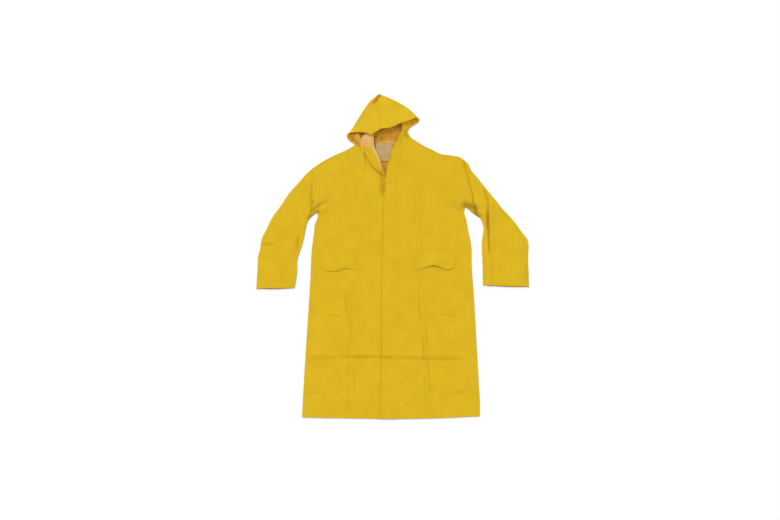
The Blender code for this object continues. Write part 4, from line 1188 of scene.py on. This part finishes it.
def hood_sections(hood):
    """Sections of half the hood, each from the crown seam or the face edge, round the outer fold, and
    back along the underside to the seam at the back."""
    inner = seam(*zip(HOOD_SHARES, (CROWN_SEAM, hood.brim, hood.tip, hood.under, hood.neck_edge)))
    fold = seam((sum(HOOD_SHARES[:2]), hood.slope), (HOOD_SHARES[2], hood.fold_tip),
                (sum(HOOD_SHARES[3:]), hood.fold_neck))
    back = seam((1, BACK_SEAM))
    rows = stations(*zip(HOOD_SHARES, HOOD_ROWS))
    inner_at, fold_at, back_at = inner(rows), fold(rows), back(rows)
    inner_at[rows <= CROWN_SHARE, 0] += hood.sign * SEAM
    back_at[:, 0] += hood.sign * SEAM
    sections = []
    for (ix, iy, iz), (fx, fy, fz), low in zip(inner_at, fold_at, back_at):
        outward = np.array([fx, fy]) - (np.array([ix, iy]) + low) / 2
        outward /= np.linalg.norm(outward)
        inset, turn_height = turn(fz / 2, HOOD_BEND)
        centre = np.array([fx, fy]) - outward * fz / 2
        t = np.linspace(0, 1, HOOD_UPPER)
        upper = (1 - t[:, None]) * np.array([ix, iy]) + t[:, None] * centre
        upper_height = fz + (iz - fz) * np.cos(np.pi / 2 * t)
        bend = np.array([fx, fy]) - outward * inset[1:-1, None]
        t = np.linspace(0, 1, HOOD_LOWER)[:, None]
        lower = (1 - t) * centre + t * low
        plan = np.vstack([upper, bend, lower])
        height = np.concatenate([upper_height, turn_height[1:-1], np.zeros(HOOD_LOWER)])
        sections.append(np.column_stack([plan, height]))
    return rows, np.array(sections)


def meet_neck_seam(grid, rows, front, neck_front):
    """Brings a hood half's last rows onto the curve and the height of the neck seam."""
    upper, lower = slice(0, HOOD_UPPER), slice(-HOOD_LOWER, None)
    near = ease((rows - (1 - NECK_SHARE)) / NECK_SHARE)[:, None]
    for columns, line in ((upper, neck_front), (lower, NECK_BACK)):
        end = grid[-1, columns]
        grid[:, columns, 1] += near * (level(line, end[:, 0]) - end[:, 1])
    x, y, height = grid[:, upper, 0], grid[:, upper, 1], grid[:, upper, 2]
    grid[:, upper, 2] = height + near * (front(x, y) - height)
    grid[-1, :, 1] += 2 * SEAM
    return grid


def hood_detail(grid, rows, hood):
    """Creases, the felled crown seam and the cord tunnel, raised on the upper side of a hood half."""
    upper = slice(0, HOOD_UPPER)
    x, y = grid[:, upper, 0], grid[:, upper, 1]
    gone = lengths(grid[:, upper], 1) / MM
    to_fold = ease((gone[:, -1:] - gone) / HOOD_FOLD_REACH)
    at_neck = 1 - ease((rows - 0.92) / 0.08)[:, None]
    rise = (creased(x, y, HOOD_CREASES) + HOOD_SWELL * swell(x, y, HOOD_SEED)) * to_fold * at_neck
    crown = (rows <= CROWN_SHARE)[:, None]
    shows = crown * ease((y - SEAM_SHOWS[0]) / SEAM_FADE) * ease((SEAM_SHOWS[1] - y) / SEAM_FADE)
    if hood.sign < 0:
        band = SEAM_RISE * (1 - ease((gone - SEAM_BAND) / SEAM_END))
        rise += shows * (band + 0.5 * groove(gone - EDGE_ROW))
    rise -= shows * SEAM_DIP * np.exp(-(gone / SEAM_DIP_WIDTH) ** 2)
    brim = 1 - crown
    rise += brim * turned(gone, TUNNEL) * at_neck
    grid[:, upper, 2] += rise
    return grid, np.pad(brim & (gone < TUNNEL), ((0, 0), (0, grid.shape[1] - HOOD_UPPER)))


def hood_points(hood):
    """Points of half the hood, with its cord tunnel and the layer below its face edge marked."""
    rows, grid = hood_sections(hood)
    grid = meet_neck_seam(grid, rows, hood.front, hood.neck_front)
    grid, tunnel = hood_detail(grid, rows, hood)
    below = (rows > sum(HOOD_SHARES[:2]))[:, None] | (grid[..., 2] <= UNDER_LAYER)
    return tuple(part[::-1] for part in (grid, tunnel, below)) if hood.sign > 0 else (grid, tunnel, below)


# -------- the corner and its facing
LAPEL_ROWS, LAPEL_FACING_COLUMNS, LAPEL_COLUMNS = 84, 9, 28
FACING_REST = 0.15     # the facing lies this far clear of the corner
FREE_SHARE = 0.1       # the corner's wrinkles come in over this share of its length and width
WRINKLE_LEAST = -1.2   # and dip by no more than this
LAPEL_SWELL, LAPEL_SEED = 0.4, 31.0

LAPEL_CREASES = table(
    Crease,
    (-104, 470, -92, 540, 5, 7, 1.0, 0.2, 0),
    (-118, 500, -112, 550, -3, 6, -0.9, 0.2, 0),
    (-70, 420, -90, 470, 4, 7, -0.7, 0.1, 0),
    (-150, 520, -138, 548, 2, 6, 0.8, 0.2, 0))


def lapel_row(share):
    """Points across the turned-out corner at one share of its length, its facing's columns first."""
    top = np.vstack([smooth_line(run) for run in LAPEL_TOP])
    free, roll = seam((1, LAPEL_FREE))([share]), seam((1, LAPEL_ROLL))([share])
    width = np.linalg.norm(roll - free)
    strip = min(FACING_MOST, FACING_WIDTH / width)
    near_top = ease((share - LAPEL_TOP_FROM) / (1 - LAPEL_TOP_FROM))
    strip += (FACING_TOP_SHARE - strip) * near_top
    u = stations((strip, LAPEL_FACING_COLUMNS), (1 - strip, LAPEL_COLUMNS))
    across = u[:, None]
    plan = (1 - across) * free + across * roll
    straight = np.interp(plan[:, 0], top[[0, -1], 0], top[[0, -1], 1])
    shaped = np.interp(plan[:, 0], top[:, 0], top[:, 1])
    plan[:, 1] += near_top * ease(u / LAPEL_TOP_EDGE) * (shaped - straight)
    x, y = places(plan)
    crest = LAPEL_CREST * min(1, width / FULL_WIDTH)
    bulge = crest * ease(u / CREST_FROM) * np.sqrt(np.clip(1 - ((u - CREST_AT) / CREST_REACH) ** 8, 0, 1))
    climb = LAPEL_CLIMB * ease((y - NECK_FRONT_RIGHT[-1].y) / CLIMB_REACH)
    free_part = ease(u / FREE_SHARE) * ease((1 - u) / FREE_SHARE) * ease(share / FREE_SHARE)
    wrinkle = creased(x, y, LAPEL_CREASES) + LAPEL_SWELL * swell(x, y, LAPEL_SEED)
    wrinkle = np.maximum(wrinkle, WRINKLE_LEAST) * free_part
    height = front_height(x, y) + LAYER + LAPEL_REST + climb + bulge + np.maximum(wrinkle, -0.9 * bulge)
    return np.column_stack([plan, height])


def lapel_points():
    return np.array([lapel_row(share) for share in stations((1, LAPEL_ROWS))])


def facing_points(lapel):
    """The facing's strip, made from the corner's points and moved out; its end is cut at a slant."""
    strip = []
    for column in range(LAPEL_FACING_COLUMNS + 1):
        end = FACING_END - FACING_SLANT * column / LAPEL_FACING_COLUMNS
        at = np.linspace(0, end, round(LAPEL_ROWS * FACING_END) + 1)
        shares = np.linspace(0, 1, len(lapel))
        strip.append(np.stack([np.interp(at, shares, lapel[:, column, k]) for k in range(3)], -1))
    strip = np.stack(strip, 1)
    lean = np.gradient(strip[..., 2], axis=1) / np.linalg.norm(np.gradient(strip[..., :2], axis=1), axis=2)
    strip[..., 2] += (FACING_WALL + FACING_REST) * np.sqrt(1 + lean ** 2)
    return strip


# -------- the flaps and label
FLAP_REST = 0.1        # a flap lies this far clear of the front along its top
FLAP_HEM, FLAP_GROOVE = 0.25, 0.6  # shares of a hem's rise and groove that a flap's edge shows
LABEL_POINTS = 27      # points along each side of the label
LABEL_EDGE = 12        # its wrinkles come in over this distance from its edges
FLAPS = {"pocket_flap_right": (FLAP_RIGHT_SIDES, FLAP_RIGHT_EDGE),
         "pocket_flap_left": (FLAP_LEFT_SIDES, FLAP_LEFT_EDGE)}


def flap_points(sides, edge):
    """Points of a pocket flap, from its free edge to the seam along its top."""
    line = smooth_line(edge)
    across, down = spaced(sides[1] - sides[0]), spaced(90)[::-1, None]
    x = sides[0] + across * (sides[1] - sides[0])
    foot, lift = (np.interp(x, line[:, 0], line[:, k]) for k in (1, 2))
    corner = np.clip(x, line[0, 0], line[-1, 0])
    plan = np.dstack([(1 - down) * x + down * corner, (1 - down) * FLAP_TOP + down * foot])
    x, y = places(plan)
    inset = np.minimum(np.minimum(x - line[0, 0], line[-1, 0] - x), y - foot)
    height = (front_height(x, y) + FLAP_WALL + FLAP_REST + lift * ease(down)
              + FLAP_HEM * TURN_RISE * (inset < EDGE_ROW) + FLAP_GROOVE * groove(inset - EDGE_ROW))
    return np.dstack([plan, height])


LABEL_CREASES = table(
    Crease,
    (-70, 486, -16, 500, 5, 5, 1.6, 0.4, 0),
    (-60, 462, -10, 470, -4, 5, 1.4, 0.4, 0),
    (-50, 508, -44, 436, 4, 5, 1.2, 0.4, 0),
    (-30, 446, -12, 484, -3, 5, 1.3, 0.4, 0),
    (-66, 446, -34, 440, 3, 4, 1.0, 0.4, 0))


def label_points():
    """Points of the label, wrinkled but flat along its edges."""
    x, y = np.meshgrid(*(np.linspace(low, high, LABEL_POINTS) for low, high in zip(LABEL_LOW, LABEL_HIGH)))
    edge = np.minimum(np.minimum(x - LABEL_LOW.x, LABEL_HIGH.x - x),
                      np.minimum(y - LABEL_LOW.y, LABEL_HIGH.y - y))
    wrinkles = np.maximum(creased(x, y, LABEL_CREASES) + rolling(x, y, 22, 5.0), 0)
    ripple = 0.9 * wrinkles * ease(edge / LABEL_EDGE)
    return np.dstack([x, y, back_height(x, y) + GAP + LABEL_WALL + ripple])


# -------- the cords
CORD_SIDES = 24
CORD_STEP = 0.6        # distance between the rings of a cord's tube
PLAITS = 4
CORD_LAY = 14.0        # length of cord over which a strand goes once round
PLAIT_RISE = 0.05      # rise of a strand, as a share of the radius
PLAIT_MIDDLE = 0.8     # height of the plait, from 0 to 1, where the cord has its named diameter
GAP_SHADE = 2.2         # how fast the painted shade grows into the gaps between the strands
CORD_END = 1.5         # its ends are rounded over this length
END_LEAST = 0.02       # and keep this share of its section
SHADE_LOSS = 0.7        # share of the painted shade at the hidden end that is lost at the free one


def cord_mesh(name, route, shadowed):
    """A braided tube along a route, rounded off and narrowed at both ends, and the centres of its rings."""
    line = smooth_line(route)
    length = np.linalg.norm(np.diff(line, axis=0), axis=1).sum()
    steps = int(length / CORD_STEP)
    centres = walk(line, np.linspace(0, 1, steps + 1))
    tangent = np.gradient(centres, axis=0)
    tangent /= np.linalg.norm(tangent, axis=1, keepdims=True)
    side = np.cross(tangent, (0, 0, 1))
    side /= np.linalg.norm(side, axis=1, keepdims=True)
    up = np.cross(side, tangent)
    angle = np.linspace(0, 2 * np.pi, CORD_SIDES + 1)[None]
    gone = np.linspace(0, length, steps + 1)[:, None]
    twist = 2 * np.pi * gone / CORD_LAY
    one, other = np.cos(PLAITS * angle + twist), np.cos(PLAITS * angle - twist)
    plait = np.maximum(np.abs(one), np.abs(other))
    cut = (1 - np.minimum(gone, length - gone) / CORD_END).clip(0, 1)
    end = np.sqrt(np.clip(1 - cut ** 2, END_LEAST, 1))
    radius = CORD_DIAMETER / 2 * (1 + PLAIT_RISE * (plait - PLAIT_MIDDLE)) * end
    around = np.cos(angle)[..., None] * side[:, None] + np.sin(angle)[..., None] * up[:, None]
    points = centres[:, None] + radius[..., None] * around
    # painted shade: in the gaps between the strands, and fading from the hidden end towards the free one
    tints = {"fold": ((1 - plait) * GAP_SHADE)[:, ::-1], "inside": shadowed * (1 - SHADE_LOSS * gone / length)}
    mesh = grid_mesh(name, points[:, ::-1], tints, closed=True)
    return mesh, centres


# -------- the stitches
THREAD_OUT = [0, 0, 0.1]     # how far a row stands out of the cloth
THREAD_OUT_TRIM = [0, 0, 0.15]
ROW_ENDS = 8           # points left out at each end of a seam's row
FLAP_ENDS = 0.05       # share of a flap's width left out at each end of its edge row


def stitch_group():
    """Puts a stitch at every pitch along each edge line of a mesh."""
    group, given, result = node_group(
        "sewn_row", "GeometryNodeTree",
        [("Geometry", "NodeSocketGeometry", None), ("Pitch", "NodeSocketFloat", 0.0042),
         ("Length", "NodeSocketFloat", 0.0032), ("Thickness", "NodeSocketFloat", 0.0006),
         ("Thread", "NodeSocketMaterial", None)],
        [("Geometry", "NodeSocketGeometry")])
    line = add_node(group, "GeometryNodeMeshToCurve", {"Mesh": given.outputs["Geometry"]})
    spots = add_node(group, "GeometryNodeCurveToPoints",
                     {"Curve": line.outputs[0], "Length": given.outputs["Pitch"]}, mode="LENGTH")
    aim = add_node(group, "FunctionNodeAlignRotationToVector", {"Vector": spots.outputs["Tangent"]}, axis="X")
    ball = add_node(group, "GeometryNodeMeshUVSphere", {"Segments": 6, "Rings": 4, "Radius": 0.5})
    smooth = add_node(group, "GeometryNodeSetShadeSmooth", {"Geometry": ball.outputs["Mesh"]})
    size = add_node(group, "ShaderNodeCombineXYZ",
                    {"X": given.outputs["Length"], "Y": given.outputs["Thickness"],
                     "Z": given.outputs["Thickness"]})
    uneven = add_node(group, "FunctionNodeRandomValue", {2: 0.9, 3: 1.1, "Seed": 4}, data_type="FLOAT")
    scaled = add_node(group, "ShaderNodeVectorMath", {0: size.outputs[0], "Scale": uneven.outputs[1]},
                      operation="SCALE")
    stitches = add_node(group, "GeometryNodeInstanceOnPoints",
                        {"Points": spots.outputs["Points"], "Instance": smooth.outputs[0],
                         "Rotation": aim.outputs[0], "Scale": scaled.outputs[0]})
    real = add_node(group, "GeometryNodeRealizeInstances", {"Geometry": stitches.outputs[0]})
    threaded = add_node(group, "GeometryNodeSetMaterial", {"Geometry": real.outputs[0],
                                                           "Material": given.outputs["Thread"]})
    group.links.new(threaded.outputs[0], result.inputs["Geometry"])
    return group


def sew(name, rows_of_points):
    """One piece with all the stitches along several rows of points on the cloth."""
    group = bpy.data.node_groups.get("sewn_row") or stitch_group()
    lines = bpy.data.meshes.new(name)
    verts, edges = [], []
    for row in rows_of_points:
        first = len(verts)
        verts += (np.asarray(row) * MM).tolist()
        edges += [(first + k, first + k + 1) for k in range(len(row) - 1)]
    lines.from_pydata(verts, edges, [])
    guide = place_object(name + "_guide", lines)
    modifier = guide.modifiers.new("sewing", "NODES")
    modifier.node_group = group
    settings = bpy.context.scene.raincoat_stitches
    values = {"Pitch": settings.pitch, "Length": settings.length, "Thickness": settings.thickness,
              "Thread": finish("sewing_thread")}
    for item in group.interface.items_tree:
        if item.in_out == "INPUT" and item.name in values:
            modifier[item.identifier] = values[item.name]
    graph = bpy.context.evaluated_depsgraph_get()
    mesh = bpy.data.meshes.new_from_object(guide.evaluated_get(graph), depsgraph=graph)
    bpy.data.objects.remove(guide, do_unlink=True)
    mesh.name = name
    obj = place_object(name, mesh)
    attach(obj, "root")
    return obj


def on_surface(plan, height, sink=0.1):
    """Points on a surface given by its height, a thread's depth out."""
    return np.column_stack([plan, height(plan[:, 0], plan[:, 1]) + GROOVE / 2 - sink])


def beside(rows, distance, count=400):
    """Points beside a line, at a distance to its left as it runs."""
    line = walk(smooth_line(rows)[:, :2], np.linspace(0, 1, count))
    run = np.gradient(line, axis=0)
    run /= np.linalg.norm(run, axis=1, keepdims=True)
    return line + distance * np.column_stack([-run[:, 1], run[:, 0]])


def grid_row(points, column_gone, distance):
    """Points of a grid at a set distance from its first column, a point for each row."""
    line = []
    for row, gone in zip(points, column_gone):
        line.append([np.interp(distance, gone, row[:, k]) for k in range(3)])
    return np.array(line)


# -------- settings
def size_of(default, name, description):
    return FloatProperty(name=name, description=description, default=default, min=0, unit="LENGTH",
                         precision=4)


def color_of(default, name, description):
    return FloatVectorProperty(name=name, description=description, default=default, size=3, subtype="COLOR",
                               min=0, max=1)


class RaincoatCloth(bpy.types.PropertyGroup):
    pitch: size_of(0.0045, "Grid pitch", "Distance between the points of a panel's grid")
    creases: FloatProperty(name="Creases", description="Strength of all the creases", default=1.0,
                           min=0, max=2)


class RaincoatStitches(bpy.types.PropertyGroup):
    pitch: size_of(0.0042, "Pitch", "Distance from one stitch to the next")
    length: size_of(0.0032, "Length", "Length of one stitch")
    thickness: size_of(0.0007, "Thickness", "Thickness of the thread")


class RaincoatLook(bpy.types.PropertyGroup):
    coating: color_of((0.672, 0.437, 0.012), "Coating", "Colour of the coated outer side")
    # painted shade: the coating's colour deep in a fold
    coating_fold_shade: color_of((0.48, 0.175, 0.002), "Coating in folds", "Colour of the coating deep in a fold")
    coating_shade: color_of((0.51, 0.50, 1.0), "Coating in shade",
                            "Share of its colour left where it hangs back")
    reverse: color_of((0.76, 0.46, 0.14), "Reverse", "Colour of the knitted inside")
    # painted shade: the inside's colour where it lies out of the light
    inside: color_of((0.62, 0.27, 0.02), "Inside", "Colour of the inside where it is enclosed")
    through: color_of((1.0, 0.50, 0.02), "Light through", "Colour where light comes through the cloth")
    inside_shade: color_of((0.30, 0.11, 0.003), "Inside in shade", "Colour of the inside in its depths")
    label: color_of((0.50, 0.345, 0.15), "Label", "Colour of the label's tape")
    cord: color_of((1.0, 0.64, 0.095), "Cord", "Colour of the drawstring")
    thread: color_of((0.62, 0.39, 0.01), "Thread", "Colour of the sewing thread")


class RaincoatStage(bpy.types.PropertyGroup):
    floor: color_of((0.96, 0.96, 0.96), "Floor", "Colour of the floor")
    camera_height: size_of(8.29, "Camera height", "Height of the camera over the coat")
    key_strength: FloatProperty(name="Key light", description="Strength of the far, soft light", default=2.4,
                                min=0)
    sky: FloatProperty(name="Sky", description="Strength of the even light from all round", default=0.55,
                       min=0)


# -------- operators
class RAINCOAT_OT_stage(bpy.types.Operator):
    """Sets the camera straight above the coat, the floor and the soft light"""
    bl_idname = "raincoat.stage"
    bl_label = "Camera, floor and light"

    CENTRE = Vector((-0.0117, -0.0158, 0))
    LENS = 85
    FLOOR_DROP = 0.0004
    FLOOR_REACH = 12
    KEY_PLACE = Vector((-1.3, 3.0, 3.0))
    KEY_ANGLE = math.radians(45)

    def execute(self, context):
        stage = context.scene.raincoat_stage
        lens = bpy.data.cameras.new("camera")
        lens.lens, lens.sensor_width = self.LENS, 36
        camera = place_object("camera", lens)
        camera.location = self.CENTRE + Vector((0, 0, stage.camera_height))
        context.scene.camera = camera

        floor = bpy.data.meshes.new("floor")
        reach, drop = self.FLOOR_REACH, self.FLOOR_DROP
        corners = [(x * reach, y * reach, -drop) for x, y in ((-1, -1), (1, -1), (1, 1), (-1, 1))]
        floor.from_pydata(corners, [], [(0, 1, 2, 3)])
        mat, tree = new_material("floor_paint")
        speckle = add_node(tree, "ShaderNodeTexNoise", {"Vector": place_on(tree), "Scale": 3.0})
        tone = tinted(tree, speckle.outputs["Fac"], solid(stage.floor), solid(stage.floor, 0.985))
        floor.materials.append(dress(mat, tone, 0.9, 0.1))
        ground = place_object("floor", floor)

        light = bpy.data.lights.new("key", "SUN")
        light.angle, light.energy = self.KEY_ANGLE, stage.key_strength
        key = place_object("key", light)
        key.location = self.KEY_PLACE
        key.rotation_euler = (self.CENTRE - self.KEY_PLACE).to_track_quat("-Z", "Y").to_euler()

        world = bpy.data.worlds.new("studio")
        context.scene.world = world
        world.use_nodes = True
        sky = world.node_tree.nodes["Background"]
        sky.inputs["Color"].default_value = (1, 1, 1, 1)
        sky.inputs["Strength"].default_value = stage.sky
        context.scene.view_settings.view_transform = "Standard"
        return {"FINISHED"}


class RAINCOAT_OT_cords(bpy.types.Operator):
    """Makes the two free ends of the hood's drawstring"""
    bl_idname = "raincoat.cords"
    bl_label = "Drawstring"

    def execute(self, context):
        # how much painted shade each cord gets at its hidden end
        for name, route, shadowed in (("drawstring_right", DRAWSTRING_RIGHT, 0),
                                      ("drawstring_left", DRAWSTRING_LEFT, 0.9)):
            mesh, centres = cord_mesh(name + "_cord", route, shadowed)
            mesh.materials.append(finish("braided_cord"))
            obj = place_object(name + "_cord", mesh)
            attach(obj, "root")
            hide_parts(name)
            centres = centres * MM
            length = float(np.linalg.norm(np.diff(centres, axis=0), axis=1).sum())
            tuple(centres[0])
            [tuple(place) for place in centres]
        return {"FINISHED"}


class RAINCOAT_OT_panels(bpy.types.Operator):
    """Lays out the back panel and the two fronts"""
    bl_idname = "raincoat.panels"
    bl_label = "Back and fronts"

    # painted shade on the inside of the back panel builds up from this height over this reach
    INSIDE_FROM, INSIDE_REACH = 250, 90
    # painted shadow on the right front under the free edge of the turned-out corner
    CORNER_TINT, CORNER_TINT_WIDTH = 0.3, 9

    def execute(self, context):
        points = back_points()
        x, y = places(points)
        # painted shade on the back's inside, lighter in the pale streaks
        inside = ease((y - self.INSIDE_FROM) / self.INSIDE_REACH) - shaded(x, y, INNER_LIGHTS)
        tints = tints_of(points, shades=INNER_SHADES, inside=inside, through=shaded(x, y, THROUGH))
        back = lay_cloth("back_panel", "back", points, tints, outer="knit_reverse", inner="coated_cloth",
                         band=near_hem(points))
        points = front_right_points()
        off, _ = off_line(*places(points), LAPEL_FREE)
        # painted shadow under the free edge of the turned-out corner
        shadow_under_corner = self.CORNER_TINT * np.exp(-(off / self.CORNER_TINT_WIDTH) ** 2)
        tints = tints_of(points, FRONT_CREASES, SHADES, extra=front_seam_shade(points) + shadow_under_corner)
        right = lay_cloth("front_right_panel", "front_right", points, tints, band=near_hem(points))
        points = front_left_points()
        tints = tints_of(points, FRONT_CREASES, SHADES, extra=front_seam_shade(points))
        left = lay_cloth("front_left_panel", "front_left", points, tints, band=near_hem(points))
        return {"FINISHED"}


class RAINCOAT_OT_sleeves(bpy.types.Operator):
    """Makes the two flattened sleeves with their turned cuffs"""
    bl_idname = "raincoat.sleeves"
    bl_label = "Sleeves"

    def execute(self, context):
        for sleeve in SLEEVES:
            rings = sleeve_rings(sleeve)
            cuff = np.zeros(rings.shape[:2], bool)
            cuff[lengths(rings, 0)[-1] - lengths(rings, 0) < CUFF_TURN * MM] = True
            grid = facing_out(rings, SLEEVE_COLUMNS - 1)
            cuff = cuff if grid is rings else cuff[::-1]
            seam_tint = ARMHOLE_SHADE * armhole_pull(*places(grid))
            # painted shade on the inside of the tube, and in its folds and seams
            tints = tints_of(grid, SLEEVE_CREASES, SHADES, closed=True, extra=seam_tint, inside=0.8)
            obj = lay_cloth(sleeve.name + "_tube", sleeve.name, grid, tints, closed=True, band=cuff)
        return {"FINISHED"}


class RAINCOAT_OT_hood(bpy.types.Operator):
    """Makes the two halves of the hood"""
    bl_idname = "raincoat.hood"
    bl_label = "Hood"

    def execute(self, context):
        for hood in HOODS:
            grid, tunnel, below = hood_points(hood)
            x, y = places(grid)
            # painted shade at the turned-in tip, below the face edge and on the inside, and painted light
            # coming through the cloth below the face edge
            warm_shade = shaded(x, y, WARM_SHADE) + below * shaded(x, y, WARM_SHADE_BELOW)
            tints = tints_of(grid, HOOD_CREASES, extra=warm_shade, inside=1 - shaded(x, y, INNER_LIGHTS),
                             through=below * shaded(x, y, THROUGH))
            outer = grid[..., 2] > UNDER_LAYER
            tints["shade"] = np.where(outer, shaded(x, y, SHADES), shaded(x, y, INNER_SHADES))
            obj = lay_cloth(hood.name + "_half", hood.name, grid, tints, band=tunnel)
        return {"FINISHED"}


class RAINCOAT_OT_lapel(bpy.types.Operator):
    """Makes the turned-out corner of the right front with its facing"""
    bl_idname = "raincoat.lapel"
    bl_label = "Turned-out corner"

    def execute(self, context):
        points = lapel_points()
        x, y = places(points)
        # painted shade along its top, under the hood's edge, more on the lobe at the free edge, and at its
        # foot
        inside = 0.5 * ease((y - 540) / 20) + 0.8 * (1 - ease((x + 150) / 12)) * ease((y - 490) / 30)
        inside += 0.95 * (1 - ease((y - 375) / 55))
        tints = tints_of(points, inside=inside, through=shaded(x, y, THROUGH))
        lapel = lay_cloth("lapel_right_corner", "lapel_right", points, tints, outer="knit_reverse",
                          inner="coated_cloth")
        strip = facing_points(points)
        # painted shade on the facing towards its foot
        foot = 0.5 * (1 - ease((strip[..., 1] - 370) / 40))
        facing = lay_cloth("facing_right_strip", "facing_right", strip, tints_of(strip, extra=foot),
                           wall=FACING_WALL)
        return {"FINISHED"}


class RAINCOAT_OT_flaps(bpy.types.Operator):
    """Makes the two pocket flaps"""
    bl_idname = "raincoat.flaps"
    bl_label = "Pocket flaps"

    def execute(self, context):
        for name, (sides, edge) in FLAPS.items():
            points = flap_points(sides, edge)
            obj = lay_cloth(name + "_cloth", name, points, tints_of(points), wall=FLAP_WALL)
            "front_right_panel" if "right" in name else "front_left_panel"
        return {"FINISHED"}


class RAINCOAT_OT_label(bpy.types.Operator):
    """Makes the bare neck label"""
    bl_idname = "raincoat.label"
    bl_label = "Label"

    def execute(self, context):
        points = label_points()
        obj = lay_cloth("label_tape_piece", "label", points, tints_of(points), outer="label_tape",
                        inner="label_tape", wall=LABEL_WALL)
        return {"FINISHED"}


class RAINCOAT_OT_stitches(bpy.types.Operator):
    """Sews the rows of stitches along the seams, hems and edges"""
    bl_idname = "raincoat.stitches"
    bl_label = "Stitches"

    def execute(self, context):
        self.sew_fronts()
        self.sew_sleeves()
        self.sew_hood()
        self.sew_small_pieces()
        return {"FINISHED"}

    def sew_fronts(self):
        right_x, left_x = np.linspace(HEM[0].x + 3, -56, 200), np.linspace(-55, HEM[-1].x - 3, 240)
        right_hem, left_hem = (np.column_stack([x, level(HEM, x) + HEM_TURN]) for x in (right_x, left_x))
        front_edge = beside(EDGE_LEFT + OPENING_LEFT[1:], -EDGE_ROW, 700)
        sew("stitches_fronts", [
            on_surface(right_hem, front_right_height),
            on_surface(left_hem, front_left_height),
            on_surface(front_edge, front_left_height),
            on_surface(beside(ARMHOLE_RIGHT, -EDGE_ROW)[ROW_ENDS:-ROW_ENDS], front_right_height),
            on_surface(beside(ARMHOLE_LEFT, EDGE_ROW)[ROW_ENDS:-ROW_ENDS], front_left_height),
            on_surface(beside(SHOULDER_RIGHT, -EDGE_ROW)[ROW_ENDS:-ROW_ENDS], front_right_height),
            on_surface(beside(SHOULDER_LEFT, EDGE_ROW)[ROW_ENDS:-ROW_ENDS], front_left_height),
        ])

    def sew_sleeves(self):
        rows = []
        for sleeve in SLEEVES:
            upper = sleeve_rings(sleeve)[:, 2:SLEEVE_COLUMNS - 2]
            gone = (lengths(upper, 0)[-1] - lengths(upper, 0)) / MM
            rows.append(grid_row(upper[::-1].swapaxes(0, 1), gone[::-1].T, CUFF_TURN) + THREAD_OUT)
        sew("stitches_sleeves", rows)

    def sew_hood(self):
        rows = []
        for hood in HOODS:
            grid = hood_points(hood)[0]
            grid = grid[::-1] if hood.sign > 0 else grid
            upper = grid[:, :HOOD_UPPER]
            gone = lengths(upper, 1) / MM
            crown = HOOD_ROWS[0]
            if hood.sign < 0:
                rows.append(grid_row(upper[3:crown], gone[3:crown], EDGE_ROW) + THREAD_OUT)
            rows.append(grid_row(upper[crown + 3:-14], gone[crown + 3:-14], TUNNEL) + THREAD_OUT)
        sew("stitches_hood", rows)

    def sew_small_pieces(self):
        rows = []
        for sides, edge in FLAPS.values():
            points = flap_points(sides, edge)
            across = spaced(sides[1] - sides[0])
            inner = (across > FLAP_ENDS) & (across < 1 - FLAP_ENDS)
            rows.append(points[-2, 1:-1] + THREAD_OUT_TRIM)
            foot = lengths(points, 0) / MM
            rows.append(grid_row(points.swapaxes(0, 1)[inner], foot.T[inner], EDGE_ROW) + THREAD_OUT)
        facing = facing_points(lapel_points())
        rows.append(facing[2:-2, -2] + THREAD_OUT_TRIM)
        label = label_points()
        ring = np.vstack([label[1, 1:-1], label[1:-1, -2], label[-2, 1:-1][::-1], label[1:-1, 1][::-1]])
        rows.append(ring + THREAD_OUT)
        sew("stitches_trim", rows)


class RAINCOAT_PT_panel(bpy.types.Panel):
    """Lists the settings and the steps that make the raincoat"""
    bl_idname = "RAINCOAT_PT_panel"
    bl_label = "Raincoat"
    bl_space_type = "VIEW_3D"
    bl_region_type = "UI"
    bl_category = "Raincoat"

    def draw(self, context):
        for settings in (context.scene.raincoat_cloth, context.scene.raincoat_stitches,
                         context.scene.raincoat_look, context.scene.raincoat_stage):
            box = self.layout.box()
            for name in settings.__annotations__:
                box.prop(settings, name)
        for step in STEPS:
            self.layout.operator(step.bl_idname)


STEPS = (RAINCOAT_OT_stage, RAINCOAT_OT_cords, RAINCOAT_OT_panels, RAINCOAT_OT_sleeves, RAINCOAT_OT_hood,
         RAINCOAT_OT_lapel, RAINCOAT_OT_flaps, RAINCOAT_OT_label, RAINCOAT_OT_stitches)
SETTINGS = {"raincoat_cloth": RaincoatCloth, "raincoat_stitches": RaincoatStitches,
            "raincoat_look": RaincoatLook, "raincoat_stage": RaincoatStage}


def register():
    for cls in (*SETTINGS.values(), *STEPS, RAINCOAT_PT_panel):
        bpy.utils.register_class(cls)
    for name, cls in SETTINGS.items():
        setattr(bpy.types.Scene, name, PointerProperty(type=cls))


def unregister():
    for name in SETTINGS:
        delattr(bpy.types.Scene, name)
    for cls in (RAINCOAT_PT_panel, *reversed(STEPS), *SETTINGS.values()):
        bpy.utils.unregister_class(cls)


def main():
    register()
    bpy.ops.raincoat.stage()
    bpy.ops.raincoat.cords()
    bpy.ops.raincoat.panels()
    bpy.ops.raincoat.sleeves()
    bpy.ops.raincoat.hood()
    bpy.ops.raincoat.lapel()
    bpy.ops.raincoat.flaps()
    bpy.ops.raincoat.label()
    bpy.ops.raincoat.stitches()


if __name__ == "__main__":
    main()
